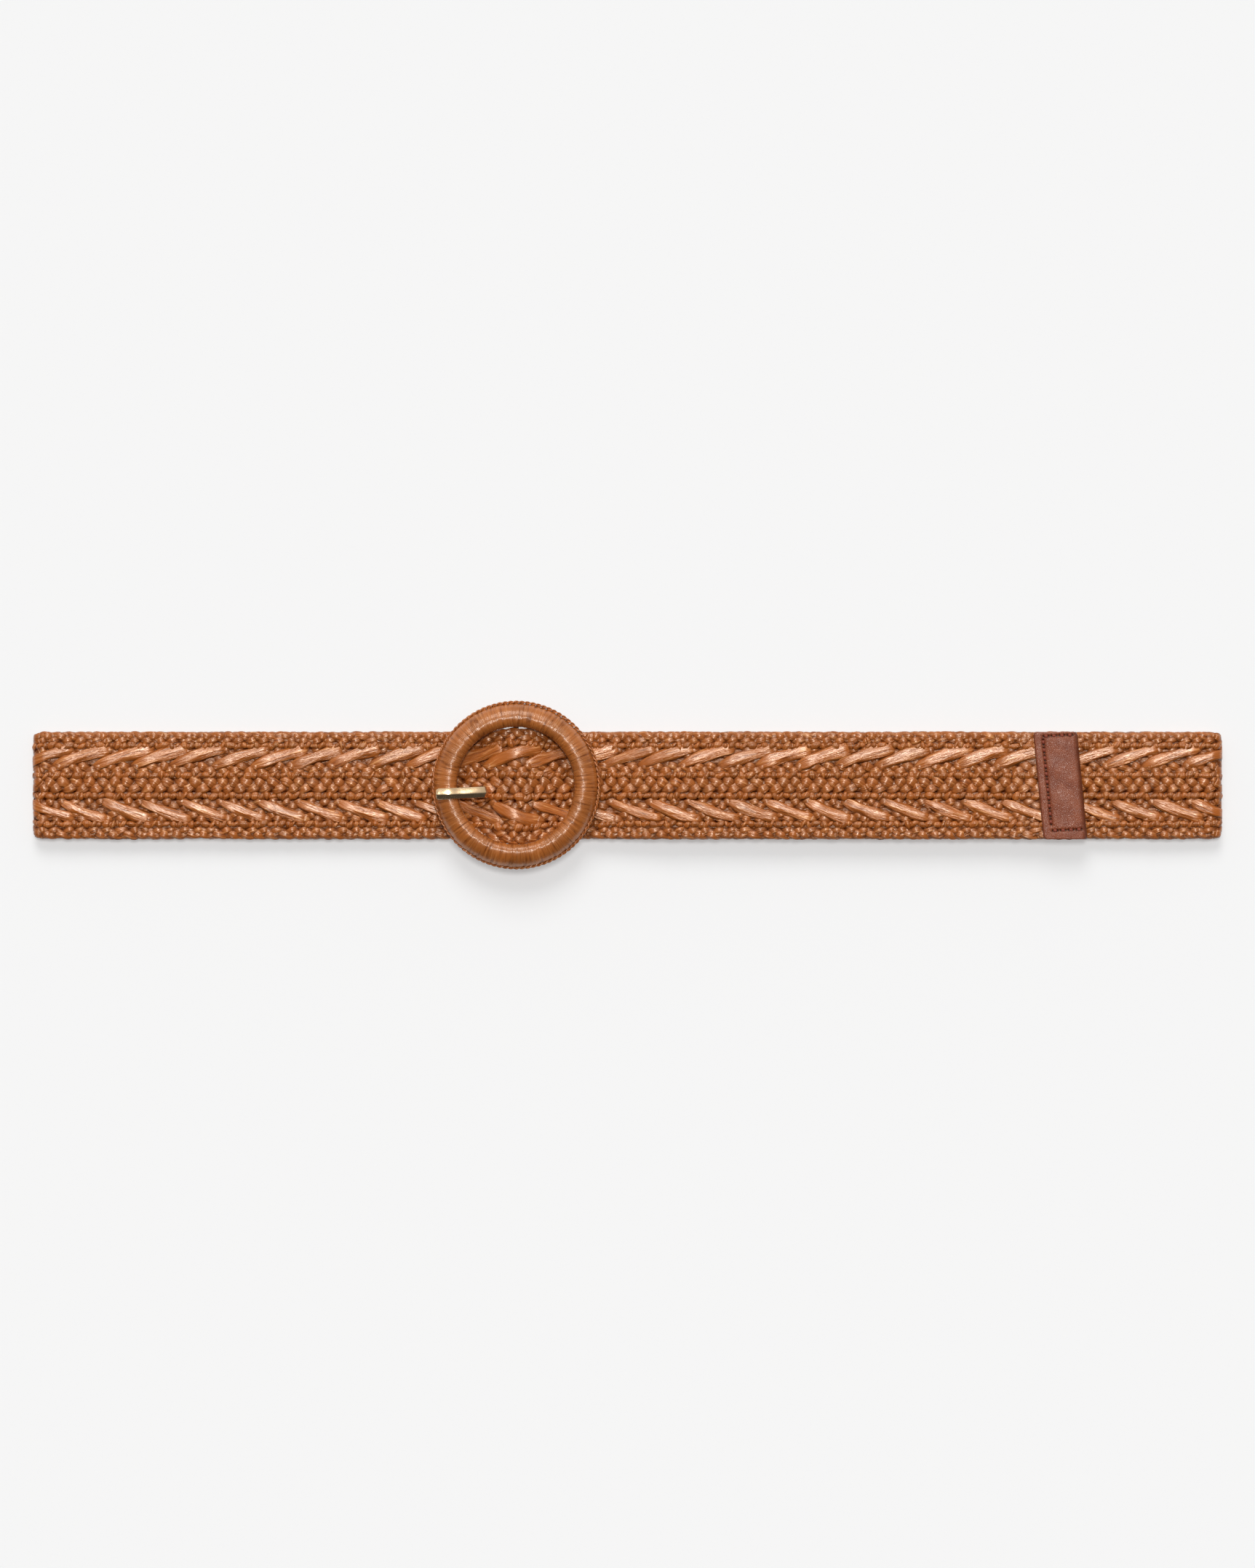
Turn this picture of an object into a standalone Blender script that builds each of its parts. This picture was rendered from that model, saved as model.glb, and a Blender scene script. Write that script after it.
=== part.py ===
"""A plaited raffia waist belt, fastened and laid flat, with a wrapped round buckle and a leather tip.

Frame: +X runs along the belt to its tip, +Y across it, +Z up. The origin is the middle of the laid
belt, on the surface that it rests on. Sizes are in metres and angles in degrees.

The strap is one long band of five plaits sewn side by side. It starts in a flap under the buckle's
bar, goes round the bar, runs right, turns back at the right fold, crosses the back, turns at the
left fold, rises through the buckle over the bar and ends in the leather tip. Each plait is cut where
the band hinges, and the pieces between two hinges ride on one rigid body.
"""

import math

import bmesh
import bpy
from mathutils import Vector

# Overall sizes
BELT_LENGTH = 0.449
STRAP_WIDTH = 0.040
STRAP_THICKNESS = 0.0024
LOOP_GAP = 0.0020
CLEARANCE = 0.0003

# The five plaits, as their widths from the upper edge (+Y) to the lower one
PLAITS = (
    ("upper_edge_plait", 6.1),
    ("upper_leaf_plait", 10.0),
    ("centre_plait", 10.4),
    ("lower_leaf_plait", 7.4),
    ("lower_edge_plait", 6.1),
)

# Where the band hinges
PANEL_HINGE_X = 0.075
TAIL_HINGE_X = 0.105

# Buckle ring
BUCKLE_X = -0.042
RING_OPENING_RADIUS = 0.0222
RING_BAND_WIDTH = 0.0088
RING_HEIGHT = 0.0066
RING_RIDGE_INSET = 0.0013
RING_BELLY_HEIGHT = 0.0019
RING_LIFT = 0.0013
WRAP_THICKNESS = 0.0007
EDGE_CORD_RADIUS = 0.0005
EDGE_CORD_DROP = 0.0001
RING_SEGMENTS = 48
WRAP_PROFILE_POINTS = 14
CORE_PROFILE_POINTS = 10
CORD_SIDES = 6

# Bar, a staple whose legs stand in the ring's core
BAR_RADIUS = 0.0011
BAR_LEG_DEPTH = 0.0032
BAR_BEND_RADIUS = 0.0024
BAR_SIDES = 12

# How the strap's end goes round the bar
PINCHED_THICKNESS = 0.0018
FLAP_LENGTH = 0.009
HALF_RISE_REACH = 0.011
WRAP_ARC_STEPS = 10

# Prong
PRONG_Y = -0.0028
PRONG_WIDTH = 0.0040
PRONG_THICKNESS = 0.0017
PRONG_CURL_THICKNESS = 0.0010
PRONG_TIP_INSET = 0.0010
PRONG_TIP_DROP = 0.0007
PRONG_EXIT = 0.0125
CURL_CLEARANCE = 0.0002
CURL_ARC_STEPS = 12
SLOT_SIDE_CLEARANCE = 0.0004
SLOT_REACH_LEFT = 0.0150
SLOT_REACH_RIGHT = 0.0022
CURL_SLOT_REACH = 0.0034

# Leather tip
TIP_LENGTH = 0.0166
TIP_END_X = 0.1711
TIP_SLANT = 5.5
TIP_LEATHER = 0.0009
TIP_OVERHANG = 0.0002
TIP_STRAP_THICKNESS = 0.0014
TIP_EASE_LENGTH = 0.012
TIP_ARC_STEPS = 8
THREAD_RADIUS = 0.00025
THREAD_LEFT_INSET = 0.0036
THREAD_UPPER_INSET = 0.0016
THREAD_LOWER_INSET = 0.0031
THREAD_CLEARANCE = 0.0001

# Levels above the resting surface, at mid-thickness
BACK_LEVEL = STRAP_THICKNESS / 2
FRONT_LEVEL = BACK_LEVEL + STRAP_THICKNESS + LOOP_GAP
TAIL_LEVEL = FRONT_LEVEL + STRAP_THICKNESS + CLEARANCE
BAR_LEVEL = STRAP_THICKNESS + CLEARANCE + PINCHED_THICKNESS + CLEARANCE + BAR_RADIUS
WRAP_RADIUS = BAR_RADIUS + CLEARANCE + PINCHED_THICKNESS / 2
UNDER_RIM_LEVEL = STRAP_THICKNESS + CLEARANCE + STRAP_THICKNESS / 2
TAIL_UNDER_RIM_LEVEL = UNDER_RIM_LEVEL + STRAP_THICKNESS + CLEARANCE
OVER_BAR_LEVEL = BAR_LEVEL + WRAP_RADIUS + PINCHED_THICKNESS / 2 + CLEARANCE + STRAP_THICKNESS / 2
RING_BOTTOM = TAIL_UNDER_RIM_LEVEL + STRAP_THICKNESS / 2 + RING_LIFT
RING_TOP = RING_BOTTOM + RING_HEIGHT
RING_MID_RADIUS = RING_OPENING_RADIUS + RING_BAND_WIDTH / 2
RING_OUTER_RADIUS = RING_OPENING_RADIUS + RING_BAND_WIDTH
RIDGE_RADIUS = RING_MID_RADIUS - RING_RIDGE_INSET

# Folds at the two ends of the laid belt
FOLD_RADIUS = (FRONT_LEVEL - BACK_LEVEL) / 2
FOLD_AXIS_LEVEL = (FRONT_LEVEL + BACK_LEVEL) / 2
FOLD_X = BELT_LENGTH / 2 - FOLD_RADIUS - STRAP_THICKNESS / 2
FOLD_ARC_STEPS = 12

# Hinge axes, on the band's inner faces so that a bend only opens the gap between two pieces
BACK_HINGE_LEVEL = STRAP_THICKNESS
FRONT_HINGE_LEVEL = STRAP_THICKNESS + LOOP_GAP
TAIL_LIFT_LEVEL = TAIL_LEVEL + STRAP_THICKNESS / 2

RAFFIA = ("raffia", (0.34, 0.125, 0.048, 1.0), 0.38, 0.0)
RAFFIA_WRAP = ("raffia_wrap", (0.39, 0.150, 0.056, 1.0), 0.30, 0.0)
LEATHER = ("leather", (0.20, 0.070, 0.038, 1.0), 0.45, 0.0)
THREAD = ("thread", (0.10, 0.020, 0.012, 1.0), 0.70, 0.0)
GOLD = ("gold", (0.78, 0.56, 0.30, 1.0), 0.25, 1.0)
BAR_METAL = ("bar", (0.16, 0.10, 0.06, 1.0), 0.45, 1.0)
CORE = ("core", (0.60, 0.52, 0.40, 1.0), 0.60, 0.0)

# Each body: the body that it hinges on, and its hinge axis as (x, z)
BODIES = {
    "back_centre": (None, (0.0, 0.0)),
    "back_left": ("back_centre", (-PANEL_HINGE_X, BACK_HINGE_LEVEL)),
    "back_right": ("back_centre", (PANEL_HINGE_X, BACK_HINGE_LEVEL)),
    "front_left": ("back_left", (-FOLD_X, FOLD_AXIS_LEVEL)),
    "front_right": ("back_right", (FOLD_X, FOLD_AXIS_LEVEL)),
    "strap_through": ("front_left", (-PANEL_HINGE_X, FRONT_HINGE_LEVEL)),
    "buckle_strap": ("front_right", (PANEL_HINGE_X, FRONT_HINGE_LEVEL)),
    "tail_middle": ("strap_through", (PANEL_HINGE_X, FRONT_HINGE_LEVEL)),
    "tail_end": ("tail_middle", (TAIL_HINGE_X, TAIL_LIFT_LEVEL)),
    "buckle": ("buckle_strap", (BUCKLE_X, BAR_LEVEL)),
    "prong": ("buckle", (BUCKLE_X, BAR_LEVEL)),
}


def material(finish):
    """The Principled material of a finish, made once."""
    name, colour, roughness, metallic = finish
    made = bpy.data.materials.get(name)
    if made is None:
        made = bpy.data.materials.new(name)
        made.use_nodes = True
        shader = made.node_tree.nodes["Principled BSDF"]
        shader.inputs["Base Color"].default_value = colour
        shader.inputs["Roughness"].default_value = roughness
        shader.inputs["Metallic"].default_value = metallic
    return made


def make_axes():
    """One empty on each body's hinge axis, parented as the bodies are."""
    axes = {}
    for body, (parent, (x, z)) in BODIES.items():
        empty = bpy.data.objects.new("axis_" + body, None)
        bpy.context.scene.collection.objects.link(empty)
        empty["place"] = (x, 0.0, z)
        if parent:
            origin = Vector(axes[parent]["place"])
            empty.parent = axes[parent]
        else:
            origin = Vector((0.0, 0.0, 0.0))
        empty.location = Vector((x, 0.0, z)) - origin
        axes[body] = empty
    return axes


def add_piece(name, mesh_builder, finish, axis):
    """Makes an object from a bmesh in world coordinates, and hangs it on its body's axis."""
    bmesh.ops.remove_doubles(mesh_builder, verts=mesh_builder.verts, dist=1e-7)
    bmesh.ops.recalc_face_normals(mesh_builder, faces=mesh_builder.faces)
    place = Vector(axis["place"])
    bmesh.ops.translate(mesh_builder, verts=mesh_builder.verts, vec=-place)
    mesh = bpy.data.meshes.new(name)
    mesh_builder.to_mesh(mesh)
    mesh_builder.free()
    mesh.materials.append(material(finish))
    piece = bpy.data.objects.new(name, mesh)
    bpy.context.scene.collection.objects.link(piece)
    piece.parent = axis
    return piece


def shade_round(piece, sharp_from=40.0):
    """Smooth shading, with edges sharper than an angle kept."""
    piece.data.shade_smooth()
    piece.data.set_sharp_from_angle(angle=math.radians(sharp_from))


def cut(piece, cutter_builder, name):
    """Cuts a closed shape, given in world coordinates, out of a piece, with an applied Boolean."""
    bmesh.ops.recalc_face_normals(cutter_builder, faces=cutter_builder.faces)
    place = Vector(piece.parent["place"])
    bmesh.ops.translate(cutter_builder, verts=cutter_builder.verts, vec=-place)
    mesh = bpy.data.meshes.new(name)
    cutter_builder.to_mesh(mesh)
    cutter_builder.free()
    cutter = bpy.data.objects.new(name, mesh)
    bpy.context.scene.collection.objects.link(cutter)
    cutter.parent = piece.parent
    cutter.hide_render = True
    cutter.display_type = "WIRE"
    boolean = piece.modifiers.new(name, "BOOLEAN")
    boolean.operation = "DIFFERENCE"
    boolean.solver = "EXACT"
    boolean.object = cutter


def box_builder(low, high):
    """A bmesh box between two corners."""
    builder = bmesh.new()
    bmesh.ops.create_cube(builder, size=1.0)
    size = [b - a for a, b in zip(low, high)]
    middle = [(a + b) / 2 for a, b in zip(low, high)]
    bmesh.ops.scale(builder, verts=builder.verts, vec=size)
    bmesh.ops.translate(builder, verts=builder.verts, vec=middle)
    return builder


def height_at(keys, x):
    """The level at x on a smooth line through (x, z) keys, which never overshoots between two keys."""
    if x <= keys[0][0]:
        return keys[0][1]
    if x >= keys[-1][0]:
        return keys[-1][1]
    slopes = [(b[1] - a[1]) / (b[0] - a[0]) for a, b in zip(keys, keys[1:])]
    tangents = [0.0]
    for before, after in zip(slopes, slopes[1:]):
        level = before * after <= 0
        tangents.append(0.0 if level else 2 * before * after / (before + after))
    tangents.append(0.0)
    i = max(k for k in range(len(keys) - 1) if keys[k][0] <= x)
    span = keys[i + 1][0] - keys[i][0]
    t = (x - keys[i][0]) / span
    return (
        keys[i][1] * (1 + 2 * t) * (1 - t) ** 2
        + keys[i + 1][1] * t * t * (3 - 2 * t)
        + span * tangents[i] * t * (1 - t) ** 2
        + span * tangents[i + 1] * t * t * (t - 1)
    )


def stations_along(keys, start, end, step, thickness=STRAP_THICKNESS):
    """(x, z, thickness) stations on a height line, from start to end."""
    count = max(1, math.ceil(abs(end - start) / step - 1e-9))
    thick = thickness if callable(thickness) else lambda x: thickness
    places = [start + (end - start) * k / count for k in range(count + 1)]
    return [(x, height_at(keys, x), thick(x)) for x in places]


def arc(centre, radius, start, end, steps):
    """(x, z) points on an arc, angles in degrees from +X towards +Z."""
    points = []
    for k in range(steps + 1):
        angle = math.radians(start + (end - start) * k / steps)
        points.append((centre[0] + radius * math.cos(angle), centre[1] + radius * math.sin(angle)))
    return points


def swept(stations, sections):
    """A closed bar along (x, z, thickness) stations. Each section is a ring of (y, share of thickness)."""
    builder = bmesh.new()
    rings = []
    last = len(stations) - 1
    for i, (x, z, thickness) in enumerate(stations):
        before = stations[max(i - 1, 0)]
        after = stations[min(i + 1, last)]
        along = Vector((after[0] - before[0], 0.0, after[1] - before[1])).normalized()
        normal = Vector((-along.z, 0.0, along.x))
        section = sections[i] if isinstance(sections, list) else sections
        centre = Vector((x, 0.0, z))
        rings.append(
            [builder.verts.new(centre + normal * (n * thickness) + Vector((0, y, 0))) for y, n in section]
        )
    for near, far in zip(rings, rings[1:]):
        for k in range(len(near)):
            j = (k + 1) % len(near)
            builder.faces.new((near[k], near[j], far[j], far[k]))
    builder.faces.new(rings[0])
    builder.faces.new(rings[-1])
    return builder


def band_section(low, high):
    """A flat band's section between two Y places."""
    return ((low, -0.5), (high, -0.5), (high, 0.5), (low, 0.5))


def plait_places():
    """Each plait's name, low Y and high Y, with a clearance between neighbours."""
    share = STRAP_WIDTH / sum(width for _, width in PLAITS)
    top = STRAP_WIDTH / 2
    places = []
    for name, width in PLAITS:
        low = top - width * share
        places.append((name, low + CLEARANCE / 2, top - CLEARANCE / 2))
        top = low
    first, last = places[0], places[-1]
    places[0] = (first[0], first[1], STRAP_WIDTH / 2)
    places[-1] = (last[0], -STRAP_WIDTH / 2, last[2])
    return places


def tip_edge_x(x, y):
    """Where a line that crosses the strap at x, slanted as the tip is, meets a given Y."""
    return x - y * math.tan(math.radians(TIP_SLANT))


# Height lines of the band's shaped stretches
FLAP_TOP = BAR_LEVEL - WRAP_RADIUS + PINCHED_THICKNESS / 2
PAST_FLAP_LEVEL = FLAP_TOP + 1.5 * CLEARANCE + STRAP_THICKNESS / 2
RIM_REACH = math.sqrt((RING_OPENING_RADIUS + RING_BELLY_HEIGHT) ** 2 - (STRAP_WIDTH / 2) ** 2)
RIM_REACH_LEVEL = UNDER_RIM_LEVEL + (PAST_FLAP_LEVEL - UNDER_RIM_LEVEL) / 2
LAYER = STRAP_THICKNESS + CLEARANCE
THROUGH_KEYS = (
    (-PANEL_HINGE_X, FRONT_LEVEL),
    (BUCKLE_X - RING_OPENING_RADIUS, FRONT_LEVEL + 0.25 * RING_LIFT),
    (BUCKLE_X - HALF_RISE_REACH, (FRONT_LEVEL + OVER_BAR_LEVEL) / 2),
    (BUCKLE_X, OVER_BAR_LEVEL),
    (BUCKLE_X + FLAP_LENGTH, PAST_FLAP_LEVEL + LAYER),
    (BUCKLE_X + RIM_REACH, RIM_REACH_LEVEL + LAYER),
    (BUCKLE_X + RING_OPENING_RADIUS, TAIL_UNDER_RIM_LEVEL),
    (BUCKLE_X + RING_OUTER_RADIUS, TAIL_UNDER_RIM_LEVEL),
    (BUCKLE_X + 2 * RING_OUTER_RADIUS, TAIL_LEVEL),
)
BUCKLE_STRAP_KEYS = (
    (BUCKLE_X, BAR_LEVEL + WRAP_RADIUS),
    (BUCKLE_X + FLAP_LENGTH, PAST_FLAP_LEVEL),
    (BUCKLE_X + RIM_REACH, RIM_REACH_LEVEL),
    (BUCKLE_X + RING_OPENING_RADIUS, UNDER_RIM_LEVEL),
    (BUCKLE_X + RING_OUTER_RADIUS, UNDER_RIM_LEVEL),
    (BUCKLE_X + 2 * RING_OUTER_RADIUS, FRONT_LEVEL),
)
TIP_LEVEL = TAIL_LEVEL - STRAP_THICKNESS / 2 + TIP_LEATHER + CLEARANCE + TIP_STRAP_THICKNESS / 2
TIP_START_X = TIP_END_X - TIP_LENGTH
TIP_SWING = math.tan(math.radians(TIP_SLANT)) * STRAP_WIDTH / 2
TAIL_KEYS = (
    (TIP_START_X - TIP_SWING - TIP_EASE_LENGTH, TAIL_LEVEL),
    (TIP_START_X - TIP_SWING - CLEARANCE, TIP_LEVEL),
)


def buckle_strap_stations():
    """Flap, the turn round the bar, and the run to the right hinge."""
    bar = (BUCKLE_X, BAR_LEVEL)
    flap_end = BUCKLE_X + FLAP_LENGTH
    stations = [(flap_end, BAR_LEVEL - WRAP_RADIUS, PINCHED_THICKNESS)]
    for x, z in arc(bar, WRAP_RADIUS, 270, 90, WRAP_ARC_STEPS):
        stations.append((x, z, PINCHED_THICKNESS))

    def thickness(x):
        rim = BUCKLE_X + RING_OPENING_RADIUS
        share = min(1.0, (x - BUCKLE_X) / (rim - BUCKLE_X))
        return PINCHED_THICKNESS + share * (STRAP_THICKNESS - PINCHED_THICKNESS)

    rest_starts = BUCKLE_STRAP_KEYS[-1][0]
    shaped = stations_along(BUCKLE_STRAP_KEYS, BUCKLE_X, rest_starts, 0.004, thickness)
    stations += shaped[1:]
    stations.append((PANEL_HINGE_X - CLEARANCE / 2, FRONT_LEVEL, STRAP_THICKNESS))
    return stations


def strap_through_stations():
    """From the left panel hinge, up over the bar and down to the right panel hinge."""
    start, end = -PANEL_HINGE_X + CLEARANCE / 2, PANEL_HINGE_X - CLEARANCE / 2
    rest_starts = THROUGH_KEYS[-1][0]
    stations = stations_along(THROUGH_KEYS, start, rest_starts, 0.004)
    return stations + [(end, TAIL_LEVEL, STRAP_THICKNESS)]


def tail_end_stations(low, high):
    """From the tail hinge into the leather tip, for a plait between two Y places."""
    start = TAIL_HINGE_X + CLEARANCE / 2
    ease_starts, ease_ends = TAIL_KEYS[0][0], TAIL_KEYS[-1][0]
    thicknesses = ((ease_starts, STRAP_THICKNESS), (ease_ends, TIP_STRAP_THICKNESS))
    inner_end = TIP_END_X - tip_fold_depth() - CLEARANCE
    end = min(tip_edge_x(inner_end, low), tip_edge_x(inner_end, high))
    shaped = stations_along(TAIL_KEYS, ease_starts, ease_ends, 0.002, lambda x: height_at(thicknesses, x))
    return [(start, TAIL_LEVEL, STRAP_THICKNESS)] + shaped + [(end, TIP_LEVEL, TIP_STRAP_THICKNESS)]


def straight_stations(start, end, level):
    """A flat run of the band."""
    return [(start, level, STRAP_THICKNESS), (end, level, STRAP_THICKNESS)]


def tip_fold_depth():
    """How far the leather's inner face lies from the tip's far end, at its mid-thickness."""
    return TIP_LEATHER


def prong_slot(name):
    """The opening through which the prong comes up, in the centre plait over the bar."""
    half = PRONG_WIDTH / 2 + SLOT_SIDE_CLEARANCE
    low = (BUCKLE_X - SLOT_REACH_LEFT, PRONG_Y - half, 0.0)
    high = (BUCKLE_X + SLOT_REACH_RIGHT, PRONG_Y + half, RING_TOP)
    return box_builder(low, high)


def curl_slot():
    """The opening for the prong's curl, where the centre plait goes round the bar."""
    half = PRONG_WIDTH / 2 + SLOT_SIDE_CLEARANCE
    reach = WRAP_RADIUS + PINCHED_THICKNESS
    low = (BUCKLE_X - reach, PRONG_Y - half, STRAP_THICKNESS)
    high = (BUCKLE_X + CURL_SLOT_REACH, PRONG_Y + half, RING_TOP)
    return box_builder(low, high)


def make_strap(axes):
    """Every plait of every body, and the two folds."""
    half_gap = CLEARANCE / 2
    hinge, fold = PANEL_HINGE_X, FOLD_X - CLEARANCE
    for plait, low, high in plait_places():
        runs = {
            "back_centre": straight_stations(-hinge + half_gap, hinge - half_gap, BACK_LEVEL),
            "back_left": straight_stations(-fold, -hinge - half_gap, BACK_LEVEL),
            "back_right": straight_stations(hinge + half_gap, fold, BACK_LEVEL),
            "front_left": straight_stations(-fold, -hinge - half_gap, FRONT_LEVEL),
            "front_right": straight_stations(hinge + half_gap, fold, FRONT_LEVEL),
            "strap_through": strap_through_stations(),
            "buckle_strap": buckle_strap_stations(),
            "tail_middle": straight_stations(hinge + half_gap, TAIL_HINGE_X - half_gap, TAIL_LEVEL),
            "tail_end": tail_end_stations(low, high),
        }
        for body, stations in runs.items():
            builder = swept(stations, band_section(low, high))
            piece = add_piece(f"{plait}_{body}", builder, RAFFIA, axes[body])
            if plait == "centre_plait" and body == "strap_through":
                cut(piece, prong_slot(body), "prong_slot_cutter")
            if plait == "centre_plait" and body == "buckle_strap":
                cut(piece, curl_slot(), "curl_slot_cutter")
    for side, body, sign in (("left", "back_left", -1), ("right", "back_right", 1)):
        middle = (sign * FOLD_X, FOLD_AXIS_LEVEL)
        turn = arc(middle, FOLD_RADIUS, -90, -90 + sign * 180, FOLD_ARC_STEPS)
        stations = [(x, z, STRAP_THICKNESS) for x, z in turn]
        section = band_section(-STRAP_WIDTH / 2, STRAP_WIDTH / 2)
        add_piece(f"{side}_fold", swept(stations, section), RAFFIA, axes[body])


def ring_profile(inset, count):
    """(radius, z) points of the ring's section, shrunk by an inset. Its ridge lies near the opening."""
    half_width = RING_BAND_WIDTH / 2 - inset
    rise = RING_HEIGHT - RING_BELLY_HEIGHT - inset
    belly = RING_BELLY_HEIGHT - inset
    widest = RING_BOTTOM + RING_BELLY_HEIGHT
    points = []
    for k in range(count):
        angle = 2 * math.pi * k / count
        lift = math.sin(angle)
        radius = RING_MID_RADIUS + half_width * math.cos(angle) - RING_RIDGE_INSET * max(lift, 0.0)
        level = widest + (rise * lift if lift > 0 else -belly * abs(lift) ** 0.6)
        points.append((radius, level))
    return points


def turned_ring(profile):
    """The closed surface made by turning a (radius, z) outline about the buckle's centre."""
    builder = bmesh.new()
    rings = []
    for k in range(RING_SEGMENTS):
        angle = 2 * math.pi * k / RING_SEGMENTS
        outwards = Vector((math.cos(angle), math.sin(angle), 0.0))
        centre = Vector((BUCKLE_X, 0.0, 0.0))
        rings.append([builder.verts.new(centre + outwards * r + Vector((0, 0, z))) for r, z in profile])
    for near, far in zip(rings, rings[1:] + rings[:1]):
        for k in range(len(profile)):
            j = (k + 1) % len(profile)
            builder.faces.new((near[k], far[k], far[j], near[j]))
    return builder


def leg_hole(sign, radius, top):
    """A vertical cylinder round one leg of the bar, from below the ring up to a level."""
    bottom = RING_BOTTOM - RING_LIFT / 2
    builder = bmesh.new()
    bmesh.ops.create_cone(
        builder,
        cap_ends=True,
        segments=BAR_SIDES,
        radius1=radius,
        radius2=radius,
        depth=top - bottom,
    )
    place = (BUCKLE_X, sign * RING_MID_RADIUS, (top + bottom) / 2)
    bmesh.ops.translate(builder, verts=builder.verts, vec=place)
    return builder


def make_ring(axes):
    """The ring's core, the raffia skin wound on it, and the cord round its outer edge."""
    axis = axes["buckle"]
    core = add_piece(
        "ring_core",
        turned_ring(ring_profile(WRAP_THICKNESS + CLEARANCE, CORE_PROFILE_POINTS)),
        CORE,
        axis,
    )
    wrap_builder = turned_ring(ring_profile(0.0, WRAP_PROFILE_POINTS))
    wrap = add_piece("ring_wrap", wrap_builder, RAFFIA_WRAP, axis)
    hollow = turned_ring(ring_profile(WRAP_THICKNESS, CORE_PROFILE_POINTS))
    cut(wrap, hollow, "wrap_hollow_cutter")
    leg_top = RING_BOTTOM + WRAP_THICKNESS + CLEARANCE + BAR_LEG_DEPTH + CLEARANCE
    through_skin = RING_BOTTOM + RING_BELLY_HEIGHT
    for sign, side in ((1, "upper"), (-1, "lower")):
        radius = BAR_RADIUS + CLEARANCE
        cut(core, leg_hole(sign, radius, leg_top), f"{side}_core_hole_cutter")
        cut(wrap, leg_hole(sign, radius, through_skin), f"{side}_wrap_hole_cutter")
    cord_radius = RING_OUTER_RADIUS + CLEARANCE + EDGE_CORD_RADIUS
    cord_level = RING_BOTTOM + RING_BELLY_HEIGHT - EDGE_CORD_DROP
    cord_builder = turned_ring(arc((cord_radius, cord_level), EDGE_CORD_RADIUS, 0, 360, CORD_SIDES)[:-1])
    cord = add_piece("ring_edge_cord", cord_builder, RAFFIA_WRAP, axis)
    for piece in (core, wrap, cord):
        shade_round(piece)


def bar_route():
    """(y, z) points along the bar's centreline: a leg, the straight run, the other leg."""
    leg_y = RING_MID_RADIUS
    leg_top = RING_BOTTOM + WRAP_THICKNESS + CLEARANCE + BAR_LEG_DEPTH
    bend = BAR_BEND_RADIUS
    lower = arc((-leg_y + bend, BAR_LEVEL + bend), bend, 180, 270, 4)
    upper = arc((leg_y - bend, BAR_LEVEL + bend), bend, 270, 360, 4)
    return [(-leg_y, leg_top)] + lower + upper + [(leg_y, leg_top)]


def make_bar(axes):
    """The steel bar, bent up at both ends into the ring's core."""
    builder = bmesh.new()
    route = bar_route()
    rings = []
    for i, (y, z) in enumerate(route):
        before, after = route[max(i - 1, 0)], route[min(i + 1, len(route) - 1)]
        along = Vector((0.0, after[0] - before[0], after[1] - before[1])).normalized()
        normal = Vector((0.0, -along.z, along.y))
        ring = []
        for k in range(BAR_SIDES):
            angle = 2 * math.pi * k / BAR_SIDES
            offset = Vector((1, 0, 0)) * math.cos(angle) + normal * math.sin(angle)
            ring.append(builder.verts.new(Vector((BUCKLE_X, y, z)) + offset * BAR_RADIUS))
        rings.append(ring)
    for near, far in zip(rings, rings[1:]):
        for k in range(BAR_SIDES):
            j = (k + 1) % BAR_SIDES
            builder.faces.new((near[k], near[j], far[j], far[k]))
    builder.faces.new(rings[0])
    builder.faces.new(rings[-1])
    shade_round(add_piece("buckle_bar", builder, BAR_METAL, axes["buckle"]))


def prong_stations():
    """From the tip, down off the ring's ridge and under the strap, then round the bar."""
    bar = (BUCKLE_X, BAR_LEVEL)
    curl_radius = BAR_RADIUS + CURL_CLEARANCE + PRONG_CURL_THICKNESS / 2
    rest_level = RING_TOP + CLEARANCE + PRONG_THICKNESS / 2
    curl_top = BAR_LEVEL + curl_radius
    exit_level = height_at(THROUGH_KEYS, BUCKLE_X - PRONG_EXIT) + STRAP_THICKNESS / 2
    shoulder_x = BUCKLE_X - RING_OPENING_RADIUS
    keys = (
        (BUCKLE_X - RING_OUTER_RADIUS + PRONG_TIP_INSET, rest_level - PRONG_TIP_DROP),
        (BUCKLE_X - RIDGE_RADIUS, rest_level),
        (shoulder_x, rest_level - PRONG_TIP_DROP),
        (BUCKLE_X - PRONG_EXIT, exit_level),
        (BUCKLE_X - PRONG_EXIT / 2, curl_top),
        (BUCKLE_X, curl_top),
    )
    curl_starts = BUCKLE_X - PRONG_EXIT / 2
    thick_keys = ((curl_starts, PRONG_CURL_THICKNESS), (BUCKLE_X, PRONG_CURL_THICKNESS))

    def thickness(x):
        if x >= curl_starts:
            return height_at(thick_keys, x)
        share = min(1.0, (curl_starts - x) / PRONG_EXIT)
        return PRONG_CURL_THICKNESS + share * (PRONG_THICKNESS - PRONG_CURL_THICKNESS)

    shank = stations_along(keys, keys[0][0], BUCKLE_X, 0.0015, thickness)
    curl = arc(bar, curl_radius, 90, -190, CURL_ARC_STEPS)
    return shank + [(x, z, PRONG_CURL_THICKNESS) for x, z in curl[1:]]


def prong_section(share):
    """The prong's gabled section, narrowed to a share of its width."""
    half = share * PRONG_WIDTH / 2
    return (
        (PRONG_Y - half, -0.5),
        (PRONG_Y + half, -0.5),
        (PRONG_Y + half, -0.05),
        (PRONG_Y + 0.15 * half, 0.5),
        (PRONG_Y - 0.15 * half, 0.5),
        (PRONG_Y - half, -0.05),
    )


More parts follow.
